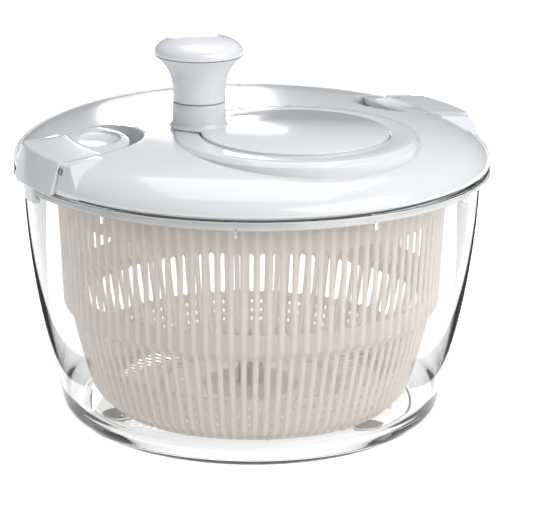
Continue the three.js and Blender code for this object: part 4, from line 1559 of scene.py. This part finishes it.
    def build(self) -> None:
        """Make both latches."""
        for side, angle in (("right", 0.0), ("left", math.pi)):
            lever = self.lever(f"latch_{side}_lever", angle)
            place(lever, f"latch_{side}", Finish.LATCH, f"latch_{side}")
            self.pin(side)
            self.spring(side)


# ---------------------------------------------------------------- crank, knob and gear train


@dataclass
class Crank:
    """The crank plate with its disc and knob boss, and the knob that turns on it."""

    plan: Plan
    lid: Lid
    disc: float = 48.0 * MM
    thickness: float = 3.0 * MM
    lobe: float = 15.5 * MM
    boss: float = 13.7 * MM
    stem: float = 6.0 * MM
    gap: float = 0.3 * MM

    def build(self) -> None:
        """Make the plate and the knob."""
        self.plate()
        self.knob()

    def arm(self) -> tuple[float, float]:
        """Return how far the knob stands from the crank's axis, and in which direction."""
        offset = self.plan.knob.xy - Vector(self.plan.crank)
        return offset.length, math.atan2(offset.y, offset.x)

    def ear_outline(self) -> list[Point]:
        """Return the outline of the plate's upper skin: the disc with an ear round the knob's boss."""
        length, direction = self.arm()
        line = []
        count = 240
        for i in range(count):
            angle = 2 * math.pi * i / count
            off = (angle - direction + math.pi) % (2 * math.pi) - math.pi
            reach = self.disc - 1.0 * MM
            under = self.lobe**2 - (length * math.sin(off)) ** 2
            if abs(off) < 1.2 and under > 0:
                reach = max(reach, length * math.cos(off) + math.sqrt(under))
            line.append(reach)
        for _ in range(6):
            line = [(line[i - 1] + 2 * line[i] + line[(i + 1) % count]) / 4 for i in range(count)]
        x, y = self.plan.crank
        step = 2 * math.pi / count
        return [(x + r * math.cos(i * step), y + r * math.sin(i * step)) for i, r in enumerate(line)]

    def plate(self) -> None:
        """Make the crank plate: a shallow disc, an ear, a flared boss and the stem below."""
        plan = self.plan
        crank = plan.crank
        top = plan.plinth_top + 1.0 * MM
        bottom = top - self.thickness
        knob = (plan.knob.x, plan.knob.y)
        boss_top = low("knob_grip").z - 0.5 * MM
        disc = revolve("crank_disc", rounded([
            (0, bottom, 0),
            (self.disc, bottom, 0.5 * MM),
            (self.disc, top, 0.7 * MM),
            (self.disc - 5.0 * MM, top + 0.02 * MM, 1.0 * MM),
            (0, top + 0.02 * MM, 0),
        ]), crank, 240)
        ear = prism("ear", self.ear_outline(), plan.plinth_top + self.gap, top + 0.12 * MM)
        soften(ear, 0.25 * MM, 50)
        flare = [(self.lobe - 0.4 * MM, top)]
        for i in range(13):
            t = i / 12
            swell = (1 - t) ** 2.6
            flare.append((self.boss + (self.lobe - 0.4 * MM - self.boss) * swell, top + 5.0 * MM * t**1.3))
        boss = revolve(
            "boss",
            [(0, plan.plinth_top + self.gap), (self.lobe - 0.4 * MM, plan.plinth_top + self.gap)]
            + flare
            + [(self.boss, boss_top - 0.7 * MM), (self.boss - 0.2 * MM, boss_top - 0.2 * MM)]
            + [(self.boss - 0.7 * MM, boss_top), (0, boss_top)],
            knob, 96,
        )
        stem = rod("stem", self.stem, plan.gear_top + 0.6 * MM, bottom + MM, crank, 48)
        key = rod("key", self.stem - 0.15 * MM, low("crank_plate").z, plan.gear_top + MM, crank, 6, math.pi / 6)
        combine(disc, Cut.JOIN, ear, boss, stem, key)
        spindle = high("knob_spindle").x - plan.knob.x
        bore = spindle - 2.5 * MM + self.gap
        combine(
            disc, Cut.REMOVE,
            rod("bore", bore, plan.plinth_top, boss_top + MM, knob),
            rod("bore", spindle + self.gap, plan.plinth_top, plan.plinth_top + 3.3 * MM, knob),
            rod("bore", 1.9 * MM, low("crank_plate").z - MM, low("crank_plate").z + 11 * MM, crank, 24),
        )
        disc.name = "crank_plate_moulding"
        place(smooth(disc, 30), "crank", Finish.CRANK, "crank_plate")

    def knob(self) -> None:
        """Make the grip and the cap of the knob."""
        x, y = self.plan.knob.x, self.plan.knob.y
        lower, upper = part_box("knob_grip")
        waist = 13.3 * MM
        flare = upper.x - x
        height = upper.z - lower.z
        side = []
        for i in range(33):
            t = i / 32
            r = waist + 0.35 * MM * (1 - t) ** 6 + (flare - waist) * t**3.2
            side.append((r, lower.z + height * t))
        bore = 3.9 * MM
        side[0] = (side[0][0] - 0.4 * MM, lower.z)
        side.insert(1, (side[1][0] + 0.02 * MM, lower.z + 0.4 * MM))
        side[-1] = (flare - 0.25 * MM, upper.z)
        section = [(bore, lower.z)] + side + [
            (9.5 * MM, upper.z), (9.5 * MM, upper.z - 5 * MM), (bore, upper.z - 5 * MM),
        ]
        grip = revolve("knob_grip_turned", section, (x, y), 128)
        place(smooth(grip, 40), "knob", Finish.KNOB, "knob_grip")
        lower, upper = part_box("knob_cap")
        radius = upper.x - x
        dome = [(radius - 0.5 * MM, lower.z), (radius - 0.1 * MM, lower.z + 0.35 * MM)]
        for i in range(33):
            angle = math.pi / 2 * i / 32
            r = radius * max(math.cos(angle), 0.0) ** 0.85 if i < 32 else 0.0
            dome.append((r, lower.z + 1.2 * MM + (upper.z - lower.z - 1.2 * MM) * math.sin(angle)))
        cap = revolve("knob_cap_turned", [(0, lower.z)] + dome, (x, y), 128)
        place(smooth(cap, 40), "knob", Finish.KNOB, "knob_cap")


@dataclass
class Drive:
    """The drive plate under the lid, and the plain machine parts that keep their CAD shape."""

    plan: Plan
    repeat: Repeat
    lug_count: int = 6

    def build(self) -> None:
        """Make the drive plate and dress the rest."""
        self.plate()
        kept = {
            Finish.GEAR: ("crank_gear", "pinion"),
            Finish.STEEL: ("drive_shaft", "drive_washer", "crank_washer", "knob_spindle", "knob_retainer"),
            Finish.BRASS: ("crank_bush", "shaft_bush"),
        }
        for finish, nodes in kept.items():
            for node in nodes:
                dress(frame["nodes"][node], finish)
        for node, body, around in (
            ("drive_screw", "driver", (0.0, 0.0)), ("crank_screw", "crank", self.plan.crank)
        ):
            lower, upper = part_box(node)
            made = screw(node + "_cross", lower.z, upper.z, (upper.x - lower.x) / 2, 1.6 * MM, around)
            place(made, body, Finish.STEEL, node)

    def plate(self) -> None:
        """Make the drive plate: a ribbed disc with a rim and lugs that push on the basket."""
        lower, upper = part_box("drive_plate")
        top = self.plan.basket_top - 1.2 * MM
        rim = self.plan.basket_top and 98.4 * MM
        hub = 4.36 * MM
        section = rounded([
            (hub, top - 6.4 * MM, 0.3 * MM),
            (hub + 4 * MM, top - 6.4 * MM, 0.6 * MM),
            (hub + 6 * MM, top - 2.2 * MM, 1.0 * MM),
            (rim - 2 * MM, top - 2.2 * MM, 1.0 * MM),
            (rim - 2 * MM, top - 6 * MM, 0.5 * MM),
            (rim, top - 6 * MM, 0.5 * MM),
            (rim, top, 0.8 * MM),
            (hub + 3 * MM, top, 0.5 * MM),
            (hub + 3 * MM, top + 1.4 * MM, 0.3 * MM),
            (hub, top + 1.4 * MM, 0.2 * MM),
        ])
        plate = revolve("drive_plate_moulding", section, facets=180)
        place(smooth(plate), "driver", Finish.INNER, "drive_plate")
        reach = self.plan.basket_top and upper.y
        lug = block(
            "drive_lugs", (rim - 1.5 * MM, -8.4 * MM, top - 6 * MM), (100.0 * MM, -0.4 * MM, top)
        )
        self.repeat.run(soften(lug, 0.4 * MM), self.lug_count, Finish.INNER, math.radians(30))
        place(smooth(lug), "driver", Finish.INNER)
        rib = block(
            "drive_plate_ribs", (12 * MM, -0.7 * MM, top - 4.4 * MM), (rim - 1.9 * MM, 0.7 * MM, top - 2.1 * MM)
        )
        self.repeat.run(soften(rib, 0.25 * MM), 12, Finish.INNER, math.radians(15))
        place(smooth(rib), "driver", Finish.INNER)


# ---------------------------------------------------------------- stage


@dataclass
class Studio:
    """The floor, the lights and the camera."""

    azimuth: float = -28.5
    elevation: float = 16.95
    distance: float = 1.2
    aim_height: float = 0.080
    lens: float = 151.2
    shift: tuple[float, float] = (0.0285, 0.0115)
    roll: float = 0.006
    strip_near: tuple[float, float] = (0.127, 0.158)
    strip_far: tuple[float, float] = (0.296, 0.52)

    def build(self) -> None:
        """Make the floor, the world, the lights and the camera."""
        self.camera()
        self.floor()
        self.world()
        self.cards()
        self.lamp("key", (0.55, -1.3, 1.0), (0, 0, 0.1), 1.5, 19.0)
        self.lamp("top", (0.2, 0.3, 1.7), (0, 0, 0.0), 1.3, 11.0)
        self.lamp("back", (0.62, 1.38, 0.46), (0, 0, 0.06), 0.26, 2.0)
        view = bpy.context.scene.view_settings
        view.view_transform = "Standard"
        view.exposure = 0.0

    def camera(self) -> None:
        """Make the camera."""
        data = bpy.data.cameras.new("camera")
        data.lens = self.lens
        data.sensor_width = 36.0
        data.shift_x, data.shift_y = self.shift
        data.clip_start = 0.05
        data.clip_end = 50.0
        made = bpy.data.objects.new("camera", data)
        a, e = math.radians(self.azimuth), math.radians(self.elevation)
        back = Vector((math.sin(a) * math.cos(e), -math.cos(a) * math.cos(e), math.sin(e)))
        made.location = Vector((0, 0, self.aim_height)) + back * self.distance
        look = (-back).to_track_quat("-Z", "Y").to_matrix().to_4x4()
        made.rotation_euler = (look @ Matrix.Rotation(self.roll, 4, "Z")).to_euler()
        bpy.context.scene.collection.objects.link(made)
        bpy.context.scene.camera = made

    def floor(self) -> None:
        """Make the pale floor."""
        half = 6.0
        floor = mesh_object(
            "floor", [(-half, -half, 0), (half, -half, 0), (half, half, 0), (-half, half, 0)], [(0, 1, 2, 3)]
        )
        g = Graph("pale_floor")
        paint = g.node("ShaderNodeBsdfPrincipled", None, {
            "Base Color": (0.6, 0.6, 0.6, 1.0), "Roughness": 0.9, "Specular IOR Level": 0.1,
            "Emission Color": (1.0, 1.0, 1.0, 1.0), "Emission Strength": 0.7,
        })
        floor.data.materials.append(g.finish(paint.outputs[0]))

    def cards(self) -> None:
        """Lay black strips out of sight on both sides, which draw the edges of the clear bowl."""
        g = Graph("black_card")
        paint = g.node("ShaderNodeBsdfPrincipled", None, {"Base Color": (0.02, 0.02, 0.02, 1.0), "Roughness": 1.0})
        black = g.finish(paint.outputs[0])
        turn = Matrix.Rotation(math.radians(self.azimuth), 4, "Z")
        near, far = self.strip_near, self.strip_far
        for name, side in (("card_left", -1), ("card_right", 1)):
            points = [
                (side * near[0], -0.05, MM), (side * far[0], 1.5, MM),
                (side * far[1], 1.5, MM), (side * near[1], -0.05, MM),
            ]
            card = mesh_object(name, points, [(0, 1, 2, 3)])
            card.data.transform(turn)
            card.data.materials.append(black)
            card.visible_camera = False
            card.visible_diffuse = False
            card.visible_shadow = False

    def world(self) -> None:
        """Light the room: pale overhead, darker low down, and white where the camera sees it."""
        world = bpy.data.worlds.new("room")
        bpy.context.scene.world = world
        world.use_nodes = True
        tree = world.node_tree
        tree.nodes.clear()
        where = tree.nodes.new("ShaderNodeTexCoord")
        split = tree.nodes.new("ShaderNodeSeparateXYZ")
        ramp = tree.nodes.new("ShaderNodeValToRGB")
        ramp.color_ramp.elements[0].position = 0.0
        ramp.color_ramp.elements[0].color = (0.10, 0.10, 0.105, 1)
        ramp.color_ramp.elements[1].position = 0.75
        ramp.color_ramp.elements[1].color = (0.85, 0.87, 0.9, 1)
        back = tree.nodes.new("ShaderNodeBackground")
        out = tree.nodes.new("ShaderNodeOutputWorld")
        tree.links.new(where.outputs["Generated"], split.inputs[0])
        tree.links.new(split.outputs["Z"], ramp.inputs[0])
        tree.links.new(ramp.outputs[0], back.inputs[0])
        back.inputs[1].default_value = 0.8
        seen = tree.nodes.new("ShaderNodeBackground")
        seen.inputs[0].default_value = (1.0, 1.0, 1.0, 1)
        path = tree.nodes.new("ShaderNodeLightPath")
        mix = tree.nodes.new("ShaderNodeMixShader")
        tree.links.new(path.outputs["Is Camera Ray"], mix.inputs[0])
        tree.links.new(back.outputs[0], mix.inputs[1])
        tree.links.new(seen.outputs[0], mix.inputs[2])
        tree.links.new(mix.outputs[0], out.inputs[0])

    def lamp(self, name: str, where: tuple, aim: tuple, size: float, power: float) -> None:
        """Make a soft square light that faces a point."""
        data = bpy.data.lights.new(name, "AREA")
        data.size = size
        data.energy = power
        made = bpy.data.objects.new(name, data)
        made.location = where
        made.rotation_euler = (Vector(aim) - Vector(where)).to_track_quat("-Z", "Y").to_euler()
        bpy.context.scene.collection.objects.link(made)


def main() -> None:
    """Build every sub-assembly in order."""
    logging.basicConfig(level=logging.INFO, format="%(message)s")
    plan = Plan()
    repeat = Repeat()
    Studio().build()
    Bowl(plan, repeat).build()
    Basket(plan, repeat).build()
    lid = Lid(plan, repeat)
    lid.build()
    Latches(lid).build()
    Crank(plan, lid).build()
    Drive(plan, repeat).build()


if __name__ == "__main__":
    main()
